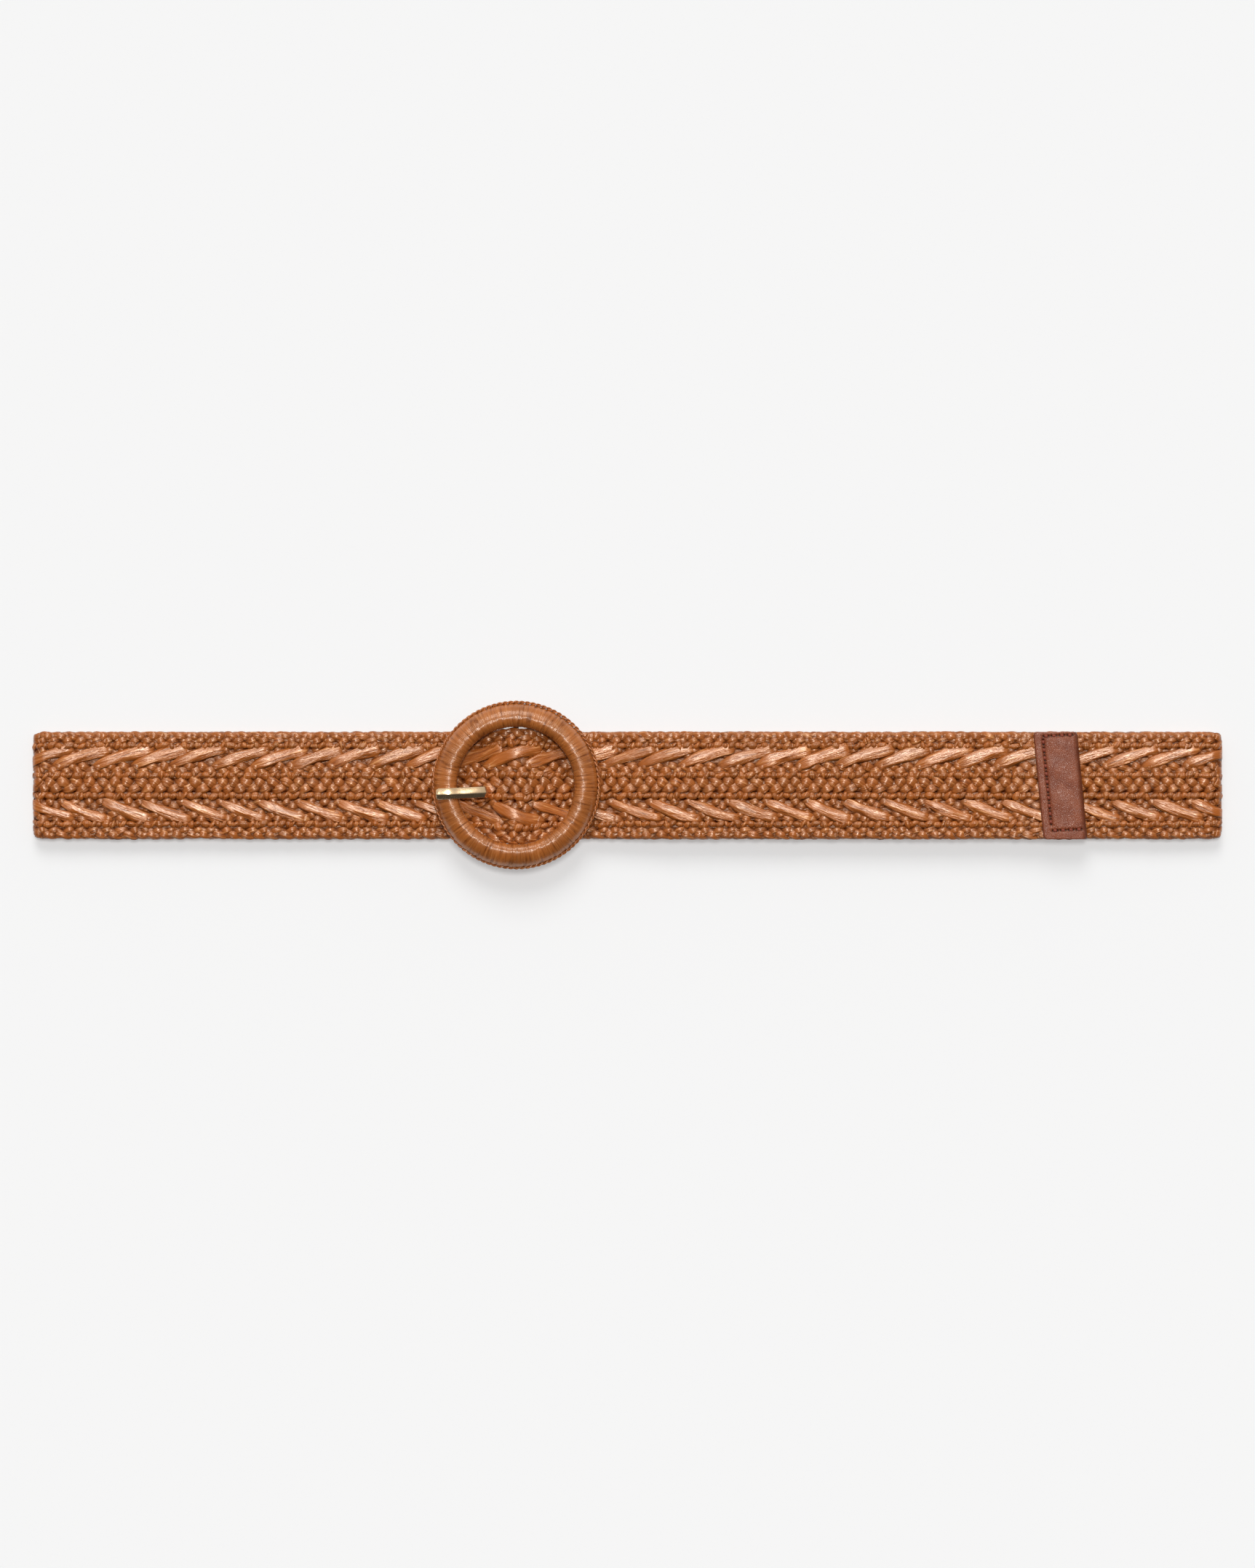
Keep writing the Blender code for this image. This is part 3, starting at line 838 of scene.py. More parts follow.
@dataclass
class WovenMesh:
    """Collects strands into one mesh.

    Attributes:
        route: The strap's route.
        slit: Where the weave parts round the prong.
        points: Each strand's points in the world.
        quads: Each strand's faces.
        caps: The rings that close its two ends.
        quad_uvs: The faces' places on the fibre map.
        cap_uvs: The caps' places on it.
        tints: Each point's colour.
        depths: Each point's depth, from 0 in a gap to 1 on the outside, which sets the finish's
            painted shade between strands.
        count: How many points there are.
        strands: How many strands there are.
    """

    route: Route
    slit: "ProngSlit"
    points: list = field(default_factory=list)
    quads: list = field(default_factory=list)
    caps: list = field(default_factory=list)
    quad_uvs: list = field(default_factory=list)
    cap_uvs: list = field(default_factory=list)
    tints: list = field(default_factory=list)
    depths: list = field(default_factory=list)
    count: int = 0
    strands: int = 0

    def add(self, strand: Strand) -> None:
        """Sweeps a strand into the mesh.

        Args:
            strand: The strand.
        """
        rings, sides = len(strand.s), strand.sides
        if rings < 3:
            return
        line = np.stack((strand.s, strand.y, strand.n), -1)
        along = np.gradient(line, axis=0)
        along /= np.linalg.norm(along, axis=1, keepdims=True)
        across = np.stack((-along[:, 1], along[:, 0], np.zeros(rings)), -1)
        across /= np.linalg.norm(across, axis=1, keepdims=True)
        out = np.cross(along, across)
        angle = 2 * math.pi * (np.arange(sides) + 0.5) / sides
        cos, sin = np.cos(angle), np.sin(angle)
        twist = (0.30 * strand.s + 1.7 * self.strands)[:, None]
        folds = np.sin(4 * angle + twist) + 0.5 * np.sin(5 * angle - 0.7 * twist)
        swell = 1 + strand.ridges * folds
        c = swell * np.sign(cos) * np.abs(cos) ** strand.square
        d = swell * np.sign(sin) * np.abs(sin) ** strand.square
        wide = (strand.half_width[:, None] * c)[..., None] * across[:, None, :]
        deep = (strand.half_depth[:, None] * d)[..., None] * out[:, None, :]
        points = line[:, None, :] + wide + deep
        lean = np.broadcast_to(strand.shear, (rings,))[:, None]
        points[..., 0] += lean * (points[..., 1] - strand.y[:, None])
        along, across = points[..., 0], points[..., 1]
        points[..., 1] = self.slit.part(self.route, along, across, strand.y[:, None])
        world = self.route.place(points[..., 0], points[..., 1], points[..., 2])
        self.points.append(world.reshape(-1, 3))
        self.tints.append(np.repeat(strand.tint, sides))
        # The depth below sets the finish's painted shade between strands; points at the strap's
        # two edges count as clear of it.
        edge = rise_between(18.6, 19.5, np.abs(points[..., 1]))
        depth = np.maximum(np.abs(points[..., 2]) / 1.2, edge)
        self.depths.append(np.clip(depth, 0, 1).reshape(-1))
        ring = self.count + np.arange(rings - 1)[:, None] * sides
        k = np.arange(sides)
        j = (k + 1) % sides
        corners = (ring + k, ring + j, ring + sides + j, ring + sides + k)
        self.quads.append(np.stack(corners, -1).reshape(-1, 4))
        girth = float(strand.half_width.mean() * 4.2)
        lane = 37.0 * self.strands
        v0 = np.broadcast_to(lane + k * girth / sides, (rings - 1, sides))
        v1 = v0 + girth / sides
        u0 = np.broadcast_to(strand.s[:-1, None], (rings - 1, sides))
        u1 = np.broadcast_to(strand.s[1:, None], (rings - 1, sides))
        uv = np.stack([np.stack(uv, -1) for uv in ((u0, v0), (u0, v1), (u1, v1), (u1, v0))], 2)
        if strand.wound:
            uv = uv[..., ::-1]
        self.quad_uvs.append(uv.reshape(-1, 2))
        last = self.count + (rings - 1) * sides
        self.caps.append((self.count + k[::-1], last + k))
        for u in (strand.s[0], strand.s[-1]):
            self.cap_uvs.append(np.stack((np.full(sides, u), lane + k * 0.3), -1))
        self.count += rings * sides
        self.strands += 1

    def build(self, name: str) -> bpy.types.Object:
        """The finished object.

        Args:
            name: The object's name.

        Returns:
            The mesh object, with its fibre UV map and its tint and depth.
        """
        quads = np.concatenate(self.quads)
        cap_rings = [ring for pair in self.caps for ring in pair]
        cap_sizes = np.array([len(ring) for ring in cap_rings])
        loops = np.concatenate([quads.reshape(-1)] + cap_rings)
        cap_starts = len(quads) * 4 + np.concatenate(([0], np.cumsum(cap_sizes)[:-1]))
        starts = np.concatenate((np.arange(len(quads)) * 4, cap_starts))
        mesh = bpy.data.meshes.new(name)
        points = np.concatenate(self.points)
        mesh.vertices.add(len(points))
        mesh.vertices.foreach_set("co", points.astype(np.float32).reshape(-1))
        mesh.loops.add(len(loops))
        mesh.loops.foreach_set("vertex_index", loops.astype(np.int32))
        mesh.polygons.add(len(starts))
        mesh.polygons.foreach_set("loop_start", starts.astype(np.int32))
        mesh.update(calc_edges=True)
        uvs = np.concatenate(self.quad_uvs + self.cap_uvs)
        layer = mesh.uv_layers.new(name="fibre")
        layer.data.foreach_set("uv", uvs.astype(np.float32).reshape(-1))
        for key, parts in (("tint", self.tints), ("depth", self.depths)):
            values = np.concatenate(parts).astype(np.float32)
            mesh.attributes.new(key, "FLOAT", "POINT").data.foreach_set("value", values)
        mesh.validate()
        mesh.shade_smooth()
        item = bpy.data.objects.new(name, mesh)
        bpy.context.scene.collection.objects.link(item)
        return item


@dataclass
class ProngSlit:
    """Where the weave parts round the prong. Sizes are in mm.

    Attributes:
        x: The slit's middle along the belt.
        y: Its middle across it.
        half_length: Half of its length.
        half_width: Half of its width.
        reach: How far from its middle the strands still move aside.
    """

    x: float = -56.0
    y: float = -2.8
    half_length: float = 4.4
    half_width: float = 2.30
    reach: float = 6.0

    def part(self, route: Route, s: np.ndarray, y: np.ndarray, middle: np.ndarray) -> np.ndarray:
        """Moves strand points aside from the prong.

        Args:
            route: The strap's route.
            s: Places along the strap.
            y: Places across it.
            middle: The strand's own middle, which says to which side it goes.

        Returns:
            The new places across the strap.
        """
        centre = route.where("tail_side", self.x)
        share = np.clip(1 - ((s - centre) / self.half_length) ** 2, 0, 1) ** 0.7
        if not share.any():
            return y
        off = y - self.y
        side = np.where(middle >= self.y, 1.0, -1.0)
        far = side * off
        opened = self.half_width * share
        moved = opened + far * (self.reach - opened) / self.reach
        aside = self.y + side * np.maximum(moved, opened * 0.9)
        return np.where((far < self.reach) & (share > 0), aside, y)


class Lean(Enum):
    """Which way a plait's visible crossings run, seen from outside."""

    OPEN = 1
    CLOSED = -1


PITCH = 14.79


@dataclass(frozen=True)
class Braid:
    """A flat braid of three strands along the strap. Sizes are in mm.

    Attributes:
        middle: How far its middle is from the strap's upper edge.
        swing: How far a strand swings to each side.
        width: Half of a strand's width.
        depth: Half of its depth.
        lean: Which way the visible crossings run.
        phase: Where the braid starts in its turn.
        seed: The seed of its small differences.
        lift: How far a strand rises at a crossing.
        uneven: How much wider a strand is on one side than on the other.
    """

    middle: float
    swing: float
    width: float
    depth: float
    lean: Lean
    phase: float
    seed: int
    lift: float = 0.56
    uneven: float = 0.0

    def weave(self, into: WovenMesh, start: float, end: float, step: float) -> None:
        """Adds the braid's strands between two places along the strap.

        Args:
            into: The mesh that it goes into.
            start: Where the stretch starts along the strap, in mm.
            end: Where it ends.
            step: The distance from one ring to the next.
        """
        sides = 12 if step < 0.6 else 8
        s = np.linspace(start, end, max(4, int((end - start) / step)))
        jitter = Wander(self.seed, 90.0, 13.0).at(s)
        for k in range(3):
            turn = 2 * math.pi * (s / PITCH + k / 3) + self.phase + 0.35 * jitter
            own = Wander(self.seed * 7 + k, 23.0, 4.5).at(s)
            other = Wander(self.seed * 11 + k, 17.0, 3.5).at(s)
            y = 20 - self.middle + self.swing * np.sin(turn) * (1 + 0.07 * own)
            n = self.lean.value * self.lift * np.sin(2 * turn) * (1 + 0.12 * other)
            width = self.width * (1 + 0.13 * other + self.uneven * np.sin(turn))
            depth = self.depth * (1 + 0.14 * own)
            tint = 0.5 + 0.32 * Wander(self.seed * 13 + k, 31.0, 5.0).at(s)
            into.add(Strand(s, y, n, width, depth, tint, sides))


@dataclass(frozen=True)
class BeadCord:
    """A cord wound so that it stands in a row of beads. Sizes are in mm.

    Attributes:
        middle: How far its middle is from the strap's upper edge.
        width: Half of a bead's width.
        depth: Half of its depth.
        seed: The seed of its small differences.
        beads: How many beads there are in a pitch of the braids.
        waist: How thick the cord is between beads, as a share of a bead.
        shear: How far a bead leans along the strap for each mm across it.
    """

    middle: float
    width: float
    depth: float
    seed: int
    beads: int = 6
    waist: float = 0.44
    shear: float = 0.22

    def weave(self, into: WovenMesh, start: float, end: float, step: float) -> None:
        """Adds the cord between two places along the strap.

        Args:
            into: The mesh that it goes into.
            start: Where the stretch starts along the strap, in mm.
            end: Where it ends.
            step: The distance from one ring to the next.
        """
        finer = 0.5 if self.beads > 3 else 1.0
        s = np.linspace(start, end, max(4, int((end - start) / (step * finer))))
        drift = Wander(self.seed, 60.0, 7.0).at(s)
        turn = math.pi * s / (PITCH / self.beads) + self.seed + 1.25 * drift
        bead = np.floor(turn / math.pi)
        size = 1 + 0.17 * np.sin(bead * 2.4 + self.seed) + 0.12 * np.sin(bead * 5.1)
        swell = self.waist + (1 - self.waist) * np.abs(np.sin(turn)) ** 0.62
        y = 20 - self.middle + 0.12 * drift + 0.20 * np.sin(bead * 3.7)
        n = 0.16 + 0.16 * np.sin(bead * 1.9)
        tint = 0.5 + 0.38 * np.sin(bead * 4.3 + self.seed)
        width = self.width * swell * size
        lean = self.shear + 0.42 * np.sin(bead * 2.9 + self.seed)
        depth = self.depth * swell
        into.add(Strand(s, y, n, width, depth, tint, 10, lean, 0.95, 0.10, True))


@dataclass(frozen=True)
class Bed:
    """A broad flat strand that lies under the others and closes the gaps between them.

    Attributes:
        middle: How far its middle is from the strap's upper edge, in mm.
        width: Half of its width.
        seed: The seed of its small differences.
    """

    middle: float
    width: float
    seed: int

    def weave(self, into: WovenMesh, start: float, end: float, step: float) -> None:
        """Adds the strand between two places along the strap.

        Args:
            into: The mesh that it goes into.
            start: Where the stretch starts along the strap, in mm.
            end: Where it ends.
            step: The distance from one ring to the next.
        """
        s = np.linspace(start, end, max(4, int((end - start) / (2 * step))))
        drift = Wander(self.seed, 50.0, 8.0).at(s)
        ones = np.ones(s.shape)
        y = 20 - self.middle + 0.1 * drift
        into.add(Strand(s, y, 0.0 * s, self.width * ones, 0.62 * ones, 0.4 * ones))


@dataclass(frozen=True)
class LeafRow:
    """A row of long flat leaves of straw laid over the weave, on one face of the strap.

    Attributes:
        first: How far from the strap's upper edge a leaf begins, in mm.
        last: How far from it the leaf ends.
        length: A leaf's length.
        width: Half of its width.
        offset: Where the row starts along the strap.
        seed: The seed of its small differences.
        face: The face that it lies on, 1 for the outer one and -1 for the inner one.
        clear: The length at the strap's start that is kept clear of leaves.
    """

    first: float
    last: float
    length: float
    width: float
    offset: float
    seed: int
    face: int = 1
    clear: float = 30.0

    def weave(self, into: WovenMesh, start: float, end: float, _step: float) -> None:
        """Adds every leaf whose home lies between two places along the strap.

        Args:
            into: The mesh that it goes into.
            start: Where the stretch starts along the strap, in mm.
            end: Where it ends.
            _step: Not used: a leaf has its own number of rings.
        """
        low = math.floor((start - self.length) / PITCH)
        high = math.ceil((end + self.length) / PITCH)
        for k in range(low, high):
            random = np.random.default_rng(self.seed * 1000 + k + 500)
            length = self.length * random.uniform(0.93, 1.07)
            begin = k * PITCH + self.offset + random.uniform(-0.5, 0.5)
            home = into.route.home(begin, begin + length, self.face)
            if not start <= home < end:
                continue
            if begin < self.clear or begin + length > into.route.end - 0.2:
                continue
            t = np.linspace(0.0, 1.0, 34)
            s = begin + length * t
            bend = 1 - (1 - t) ** random.uniform(1.25, 1.6)
            rows = np.array([self.first, self.last]) + random.uniform(-0.3, 0.3, 2)
            y = 20 - (rows[0] + (rows[1] - rows[0]) * bend)
            rise = np.clip(t / 0.30, 0, 1)
            fall = np.clip((1 - t) / 0.16, 0, 1)
            ends = np.sin(0.5 * math.pi * rise) * np.sin(0.5 * math.pi * fall)
            swell = np.sqrt(np.clip(ends, 0.02, 1))
            wave = 1 + 0.10 * np.sin(3.3 * math.pi * t + k)
            width = self.width * random.uniform(0.88, 1.10) * swell * wave
            n = self.face * (-0.62 + 1.62 * swell**0.8 - 0.25 * t)
            depth = 0.14 + 0.30 * swell
            tint = np.full(t.shape, 0.80 + 0.30 * random.uniform(-1, 1)) + 0.2 * (swell - 0.5)
            into.add(Strand(s, y, n, width, depth, tint, 14, 0.0, 0.8, 0.16))


@dataclass(frozen=True)
class Plait:
    """One of the strap's five plaits, with everything woven in it.

    Attributes:
        name: The plait's name.
        rows: Its braids, cords, beds and rows of leaves.
    """

    name: str
    rows: tuple

    def weave(self, into: WovenMesh, start: float, end: float, step: float) -> None:
        """Weaves the plait's rows between two places along the strap.

        Args:
            into: The mesh that it goes into.
            start: Where the stretch starts along the strap, in mm.
            end: Where it ends.
            step: The distance from one ring to the next.
        """
        for row in self.rows:
            row.weave(into, start, end, step)


PLAITS = (
    Plait("upper_edge_plait", (
        Bed(2.0, 1.6, 61),
        Bed(4.7, 1.5, 62),
        Braid(2.22, 1.10, 1.28, 0.56, Lean.OPEN, 1.45, 31, 0.26),
        Braid(2.30, 1.10, 1.36, 0.58, Lean.CLOSED, 0.4, 11, 0.54, 0.10),
        BeadCord(5.00, 1.62, 1.26, 3),
    )),
    Plait("upper_leaf_plait", (
        Bed(7.6, 1.9, 63),
        Bed(10.8, 2.0, 64),
        Bed(14.2, 1.9, 65),
        Braid(7.5, 1.20, 1.45, 0.48, Lean.OPEN, 1.9, 12, 0.42),
        Braid(10.6, 1.30, 1.60, 0.44, Lean.OPEN, 0.9, 27, 0.30),
        Braid(13.6, 1.25, 1.62, 0.60, Lean.CLOSED, 3.1, 13, 0.54),
        LeafRow(13.4, 6.1, 24.0, 2.20, 0.0, 21),
        LeafRow(13.4, 6.1, 24.0, 2.20, 7.4, 22, -1),
    )),
    Plait("centre_plait", (
        Bed(16.4, 1.5, 66),
        Bed(20.0, 2.6, 67),
        Bed(23.6, 1.5, 68),
        BeadCord(16.1, 1.66, 1.26, 5),
        Braid(19.95, 1.78, 1.88, 0.64, Lean.CLOSED, 2.3, 14, 0.58, 0.12),
        BeadCord(23.9, 1.66, 1.26, 8),
    )),
    Plait("lower_leaf_plait", (
        Bed(26.8, 1.7, 69),
        Bed(29.4, 1.7, 70),
        Bed(32.0, 1.6, 71),
        Braid(26.9, 1.15, 1.45, 0.50, Lean.OPEN, 5.0, 15, 0.46),
        Braid(29.4, 1.15, 1.50, 0.44, Lean.OPEN, 2.0, 28, 0.30),
        Braid(31.6, 1.15, 1.55, 0.56, Lean.OPEN, 2.9, 16, 0.50),
        LeafRow(25.4, 32.5, 20.8, 1.95, 3.2, 23),
        LeafRow(25.4, 32.5, 20.8, 1.95, 10.6, 24, -1),
    )),
    Plait("lower_edge_plait", (
        Bed(35.2, 1.6, 72),
        Bed(37.9, 1.6, 73),
        BeadCord(34.50, 1.62, 1.26, 9),
        Braid(37.68, 1.10, 1.28, 0.56, Lean.CLOSED, 5.25, 32, 0.26),
        Braid(37.60, 1.10, 1.36, 0.58, Lean.OPEN, 4.2, 17, 0.54, -0.10),
    )),
)


@dataclass(frozen=True)
class Span:
    """A stretch of the strap that crosses one of the belt's joints.

    Attributes:
        name: The stretch's name.
        start: Where it starts along the strap, in mm.
        end: Where it ends.
        step: The distance from one ring of a strand to the next.
        bodies: The CAD bodies on the joint's two sides. Not used.
        low: Where the joint's bend starts, as a place in mm. Not used.
        high: Where the bend ends. Not used.
        stands_for: The CAD bodies whose plaits it replaces, or none for a fold, which it
            replaces whole.
    """

    name: str
    start: float
    end: float
    step: float
    bodies: tuple
    low: tuple
    high: tuple
    stands_for: tuple

    def nodes(self, plait: str) -> list:
        """The CAD pieces that one plait of the span replaces.

        Args:
            plait: The plait's name.

        Returns:
            The names of the pieces.
        """
        if not self.stands_for:
            return [self.name]
        return [f"{plait}_{body}" for body in self.stands_for]


@dataclass
class Strap:
    """The woven strap, in spans that each cross one of the belt's joints.

    Attributes:
        route: The strap's route.
        fine: The step of the spans that are seen from near.
        coarse: The step of the others.
        slit: Where the weave parts round the prong.
        bend: Half of the length that bends at a joint, in mm.
        seam: Where one span along the front gives way to the next.
        tail_seam: Where the tail's last span starts.
    """

    route: Route = field(default_factory=Route)
    fine: float = 0.50
    coarse: float = 0.85
    slit: ProngSlit = field(default_factory=ProngSlit)
    bend: float = 9.0
    seam: float = -15.5
    tail_seam: float = 90.0

    def spans(self) -> tuple:
        """Lays out the spans from the buckle to the tip.

        Returns:
            The spans.
        """
        r, fine, coarse, bend = self.route, self.fine, self.coarse, self.bend
        panel, tail = r.panel, r.tail_hinge
        right, right_end = r.starts("right_fold"), r.starts("back_side")
        left, left_end = r.starts("left_fold"), r.starts("tail_side")
        middle = r.where("back_side", 0.0)
        rim, cut = r.where("tail_side", self.seam), r.where("tail_side", self.tail_seam)
        inner, outer = (0, 0, r.back), (0, 0, r.front)

        def along(low: float, high: float) -> tuple:
            """The two ends of a bend along x."""
            return (low, 0, 0), (high, 0, 0)

        return (
            Span("buckle_side", 0.0, right, coarse, ("buckle_strap", "front_right"),
                 *along(panel - bend, panel + bend), ("buckle_strap", "front_right")),
            Span("right_fold", right, right_end, fine, ("back_right", "front_right"),
                 inner, outer, ()),
            Span("back_right", right_end, middle, coarse, ("back_right", "back_centre"),
                 *along(panel + bend, panel - bend), ("back_right",)),
            Span("back_left", middle, left, coarse, ("back_centre", "back_left"),
                 *along(-panel + bend, -panel - bend), ("back_centre", "back_left")),
            Span("left_fold", left, left_end, fine, ("back_left", "front_left"),
                 inner, outer, ()),
            Span("front_left", left_end, rim, fine, ("front_left", "strap_through"),
                 *along(-panel - bend, -panel + bend), ("front_left",)),
            Span("tail_front", rim, cut, fine, ("strap_through", "tail_middle"),
                 *along(panel - bend, panel + bend), ("strap_through", "tail_middle")),
            Span("tail_end", cut, r.end, fine, ("tail_middle", "tail_end"),
                 *along(tail - 1.0, tail + 15.0), ("tail_end",)),
        )

    def build(self, straw: Material) -> None:
        """Weaves every plait of every span, and hides the CAD pieces that it replaces.

        Args:
            straw: The strap's finish.
        """
        for span in self.spans():
            for plait in PLAITS:
                woven = WovenMesh(self.route, self.slit)
                plait.weave(woven, span.start, span.end, span.step)
                piece = woven.build(f"{plait.name}_woven_{span.name}")
                piece.data.materials.append(straw)
                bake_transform(piece)
                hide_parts(*span.nodes(plait.name))
                faces = len(piece.data.polygons)
                LOG.info("%s: %d strands, %d faces", piece.name, woven.strands, faces)


# ---- Buckle ----


@dataclass
class BuckleRing:
    """The wound ring and the twisted cord round it. Sizes are in mm.

    Attributes:
        x: Where the ring's middle is.
        opening: The radius of its opening.
        band: The width of its band.
        bottom: The level of its underside.
        height: How tall it is.
        belly: How far above the underside it is widest.
        ridge_inset: How far its ridge leans towards the opening.
        middle: The radius of the middle of its band.
        around: How many rings of points go round it.
        section: How many points each of them has.
        windings: How many straw strands are wound round it.
        slip: How far the cord has slipped to one side.
    """

    x: float = -42.0
    opening: float = 22.2
    band: float = 8.8
    bottom: float = 9.1
    height: float = 6.6
    belly: float = 1.9
    ridge_inset: float = 1.3
    middle: float = 26.6
    around: int = 1560
    section: int = 40
    windings: int = 156
    slip: float = 0.20

    def outline(self, turn: np.ndarray) -> tuple:
        """Draws the ring's section.

        Args:
            turn: Turns round the section, in radians from its outer side.

        Returns:
            The radius and the level at each of them.
        """
        lift = np.sin(turn)
        radius = self.opening + self.band / 2 + self.band / 2 * np.cos(turn)
        radius = radius - self.ridge_inset * np.maximum(lift, 0)
        widest = self.bottom + self.belly
        rise = (self.height - self.belly) * np.clip(lift, 0, 1) ** 0.88
        level = widest + np.where(lift > 0, rise, -self.belly * np.abs(lift) ** 0.6)
        return radius, level

    def relief(self, bearing: np.ndarray, turn: np.ndarray) -> tuple:
        """Lays straw strands of many widths side by side round the ring, with small crinkles.

        Args:
            bearing: Each point's bearing from the ring's middle, in radians.
            turn: Its turn round the section.

        Returns:
            How far it stands out in mm, its tint and its depth.
        """
        arc = (bearing + math.pi) * self.middle
        drift = Wander(71, 40.0, 5.0).at(arc)
        random = np.random.default_rng(5)
        widths = random.uniform(0.55, 1.55, self.windings)
        bounds = np.concatenate(([0.0], np.cumsum(widths / widths.sum() * 2 * math.pi)))
        lean = 0.016 * np.sin(turn) + 0.010 * drift
        lane = (bearing + math.pi + lean) % (2 * math.pi)
        which = np.clip(np.searchsorted(bounds, lane, side="right") - 1, 0, self.windings - 1)
        part = (lane - bounds[which]) / (bounds[which + 1] - bounds[which])
        tall = random.uniform(-0.09, 0.07, self.windings)[which]
        edge = np.abs(np.sin(math.pi * part)) ** 0.5
        fine = 0.030 * Wander(74, 1.3, 0.45, 3).at(lane * self.middle)
        near_ridge = np.exp(-(((turn - 1.75) / 0.55) ** 2))
        crinkle = near_ridge * Wander(72, 2.4, 0.7).at(arc + 2.2 * turn) * 0.15
        pinch = Wander(75, 4.0, 1.1, 4).at(arc * 0.7 - 5.0 * turn)
        ripple = Wander(73, 5.0, 1.2).at(arc * 0.4 + 6 * turn)
        crinkle = crinkle + 0.04 * ripple + 0.07 * near_ridge * pinch
        push = (0.17 * (edge - 1) + tall * edge + fine + crinkle).astype(float)
        tint = np.clip(0.5 + 0.24 * np.sin(which * 12.9898) * edge, 0, 1)
        # Painted shade: the depth drops towards each strand's edge, so the grooves between
        # strands are darkened.
        return push, tint, 0.16 + 0.5 * edge

    def build_wrap(self, straw: Material) -> None:
        """Builds the straw wound round the ring, strand beside strand.

        Args:
            straw: Its finish.
        """
        deselect_all()
        bpy.ops.mesh.primitive_torus_add(
            major_segments=self.around,
            minor_segments=self.section,
            major_radius=self.middle * MM,
            minor_radius=self.band / 2 * MM,
            location=(0, 0, 0),
        )
        wrap = bpy.context.object
        wrap.name = "wound_ring"
        mesh = wrap.data
        co = np.empty(len(mesh.vertices) * 3, np.float32)
        mesh.vertices.foreach_get("co", co)
        co = co.reshape(-1, 3) / MM
        bearing = np.arctan2(co[:, 1], co[:, 0])
        turn = np.arctan2(co[:, 2], np.hypot(co[:, 0], co[:, 1]) - self.middle)
        push, tint, depth = self.relief(bearing, turn)
        radius, level = self.outline(turn)
        radius, level = radius + push * np.cos(turn), level + push * np.sin(turn)
        x, y = self.x + radius * np.cos(bearing), radius * np.sin(bearing)
        world = np.stack((x, y, level), -1) * MM
        mesh.vertices.foreach_set("co", world.astype(np.float32).reshape(-1))
        for key, values in (("tint", tint), ("depth", depth)):
            layer = mesh.attributes.new(key, "FLOAT", "POINT")
            layer.data.foreach_set("value", values.astype(np.float32))
        self.wind_uvs(mesh)
        mesh.shade_smooth()
        mesh.update()
        mesh.materials.clear()
        mesh.materials.append(straw)
        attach(wrap, "buckle")
        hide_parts("ring_wrap")
        LOG.info("%s: %d faces", wrap.name, len(mesh.polygons))

    def wind_uvs(self, mesh: bpy.types.Mesh) -> None:
        """Scales the primitive's UV map so that fibres run round the ring's section.

        Args:
            mesh: The ring's mesh.
        """
        layer = mesh.uv_layers.active or mesh.uv_layers.new(name="fibre")
        uv = np.empty(len(layer.data) * 2, np.float32)
        layer.data.foreach_get("uv", uv)
        uv = uv.reshape(-1, 2)
        turned = np.stack((uv[:, 1] * 25.0, uv[:, 0] * 167.0), -1)
        layer.data.foreach_set("uv", turned.astype(np.float32).reshape(-1))

    def build_cord(self, straw: Material) -> None:
        """Builds the two-ply cord laid round the ring's outer edge.

        Args:
            straw: Its finish.
        """
        plies, steps, sides, turns = 2, 820, 7, 46
        lay, thick = 0.30, 0.36
        middle, level = self.opening + self.band + 0.14, self.bottom + self.belly + 0.30
        builder = bmesh.new()
        tint_layer = builder.verts.layers.float.new("tint")
        ply_shade_layer = builder.verts.layers.float.new("depth")
        for ply in range(plies):
            rings = []
            for i in range(steps):
                bearing = 2 * math.pi * i / steps
                twist = turns * bearing + math.pi * ply
                outwards = Vector((math.cos(bearing), math.sin(bearing), 0))
                r, z = middle + lay * math.cos(twist), level + lay * math.sin(twist)
                centre = Vector((self.x + self.slip, self.slip, z)) + outwards * r
                ring = []
                for k in range(sides):
                    angle = 2 * math.pi * k / sides
                    rise = Vector((0, 0, thick * math.sin(angle)))
                    offset = outwards * (thick * math.cos(angle)) + rise
                    vertex = builder.verts.new((centre + offset) * MM)
                    vertex[tint_layer] = 0.62 + 0.25 * math.sin(twist * 0.5)
                    # Painted shade: the lower side of each ply gets a low depth, so the finish
                    # darkens it.
                    vertex[ply_shade_layer] = 0.55 + 0.45 * max(0.0, math.sin(angle + 0.4))
                    ring.append(vertex)
                rings.append(ring)
            for near, far in zip(rings, rings[1:] + rings[:1]):
                for k in range(sides):
                    j = (k + 1) % sides
                    builder.faces.new((near[k], far[k], far[j], near[j]))
        bmesh.ops.recalc_face_normals(builder, faces=builder.faces)
        mesh = bpy.data.meshes.new("ring_twisted_cord")
        layer = builder.loops.layers.uv.new("fibre")
        for face in builder.faces:
            for loop in face.loops:
                place = loop.vert.co / MM
                bearing = math.atan2(place.y, place.x - self.x)
                loop[layer].uv = (bearing * 31.0, place.z * 2.0)
        builder.to_mesh(mesh)
        builder.free()
        mesh.shade_smooth()
        mesh.materials.append(straw)
        cord = bpy.data.objects.new("ring_twisted_cord", mesh)
        bpy.context.scene.collection.objects.link(cord)
        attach(cord, "buckle")
        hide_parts("ring_edge_cord")
        LOG.info("%s: %d faces", cord.name, len(mesh.polygons))

    def dress_hidden(self, straw: Material, bronze: Material) -> None:
        """Finishes the ring's core and the bar, whose CAD shapes stay.

        Args:
            straw: The core's finish.
            bronze: The bar's finish.
        """
        for node, finish in (("ring_core", straw), ("buckle_bar", bronze)):
            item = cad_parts[node]
            item.data.materials.clear()
            item.data.materials.append(finish)


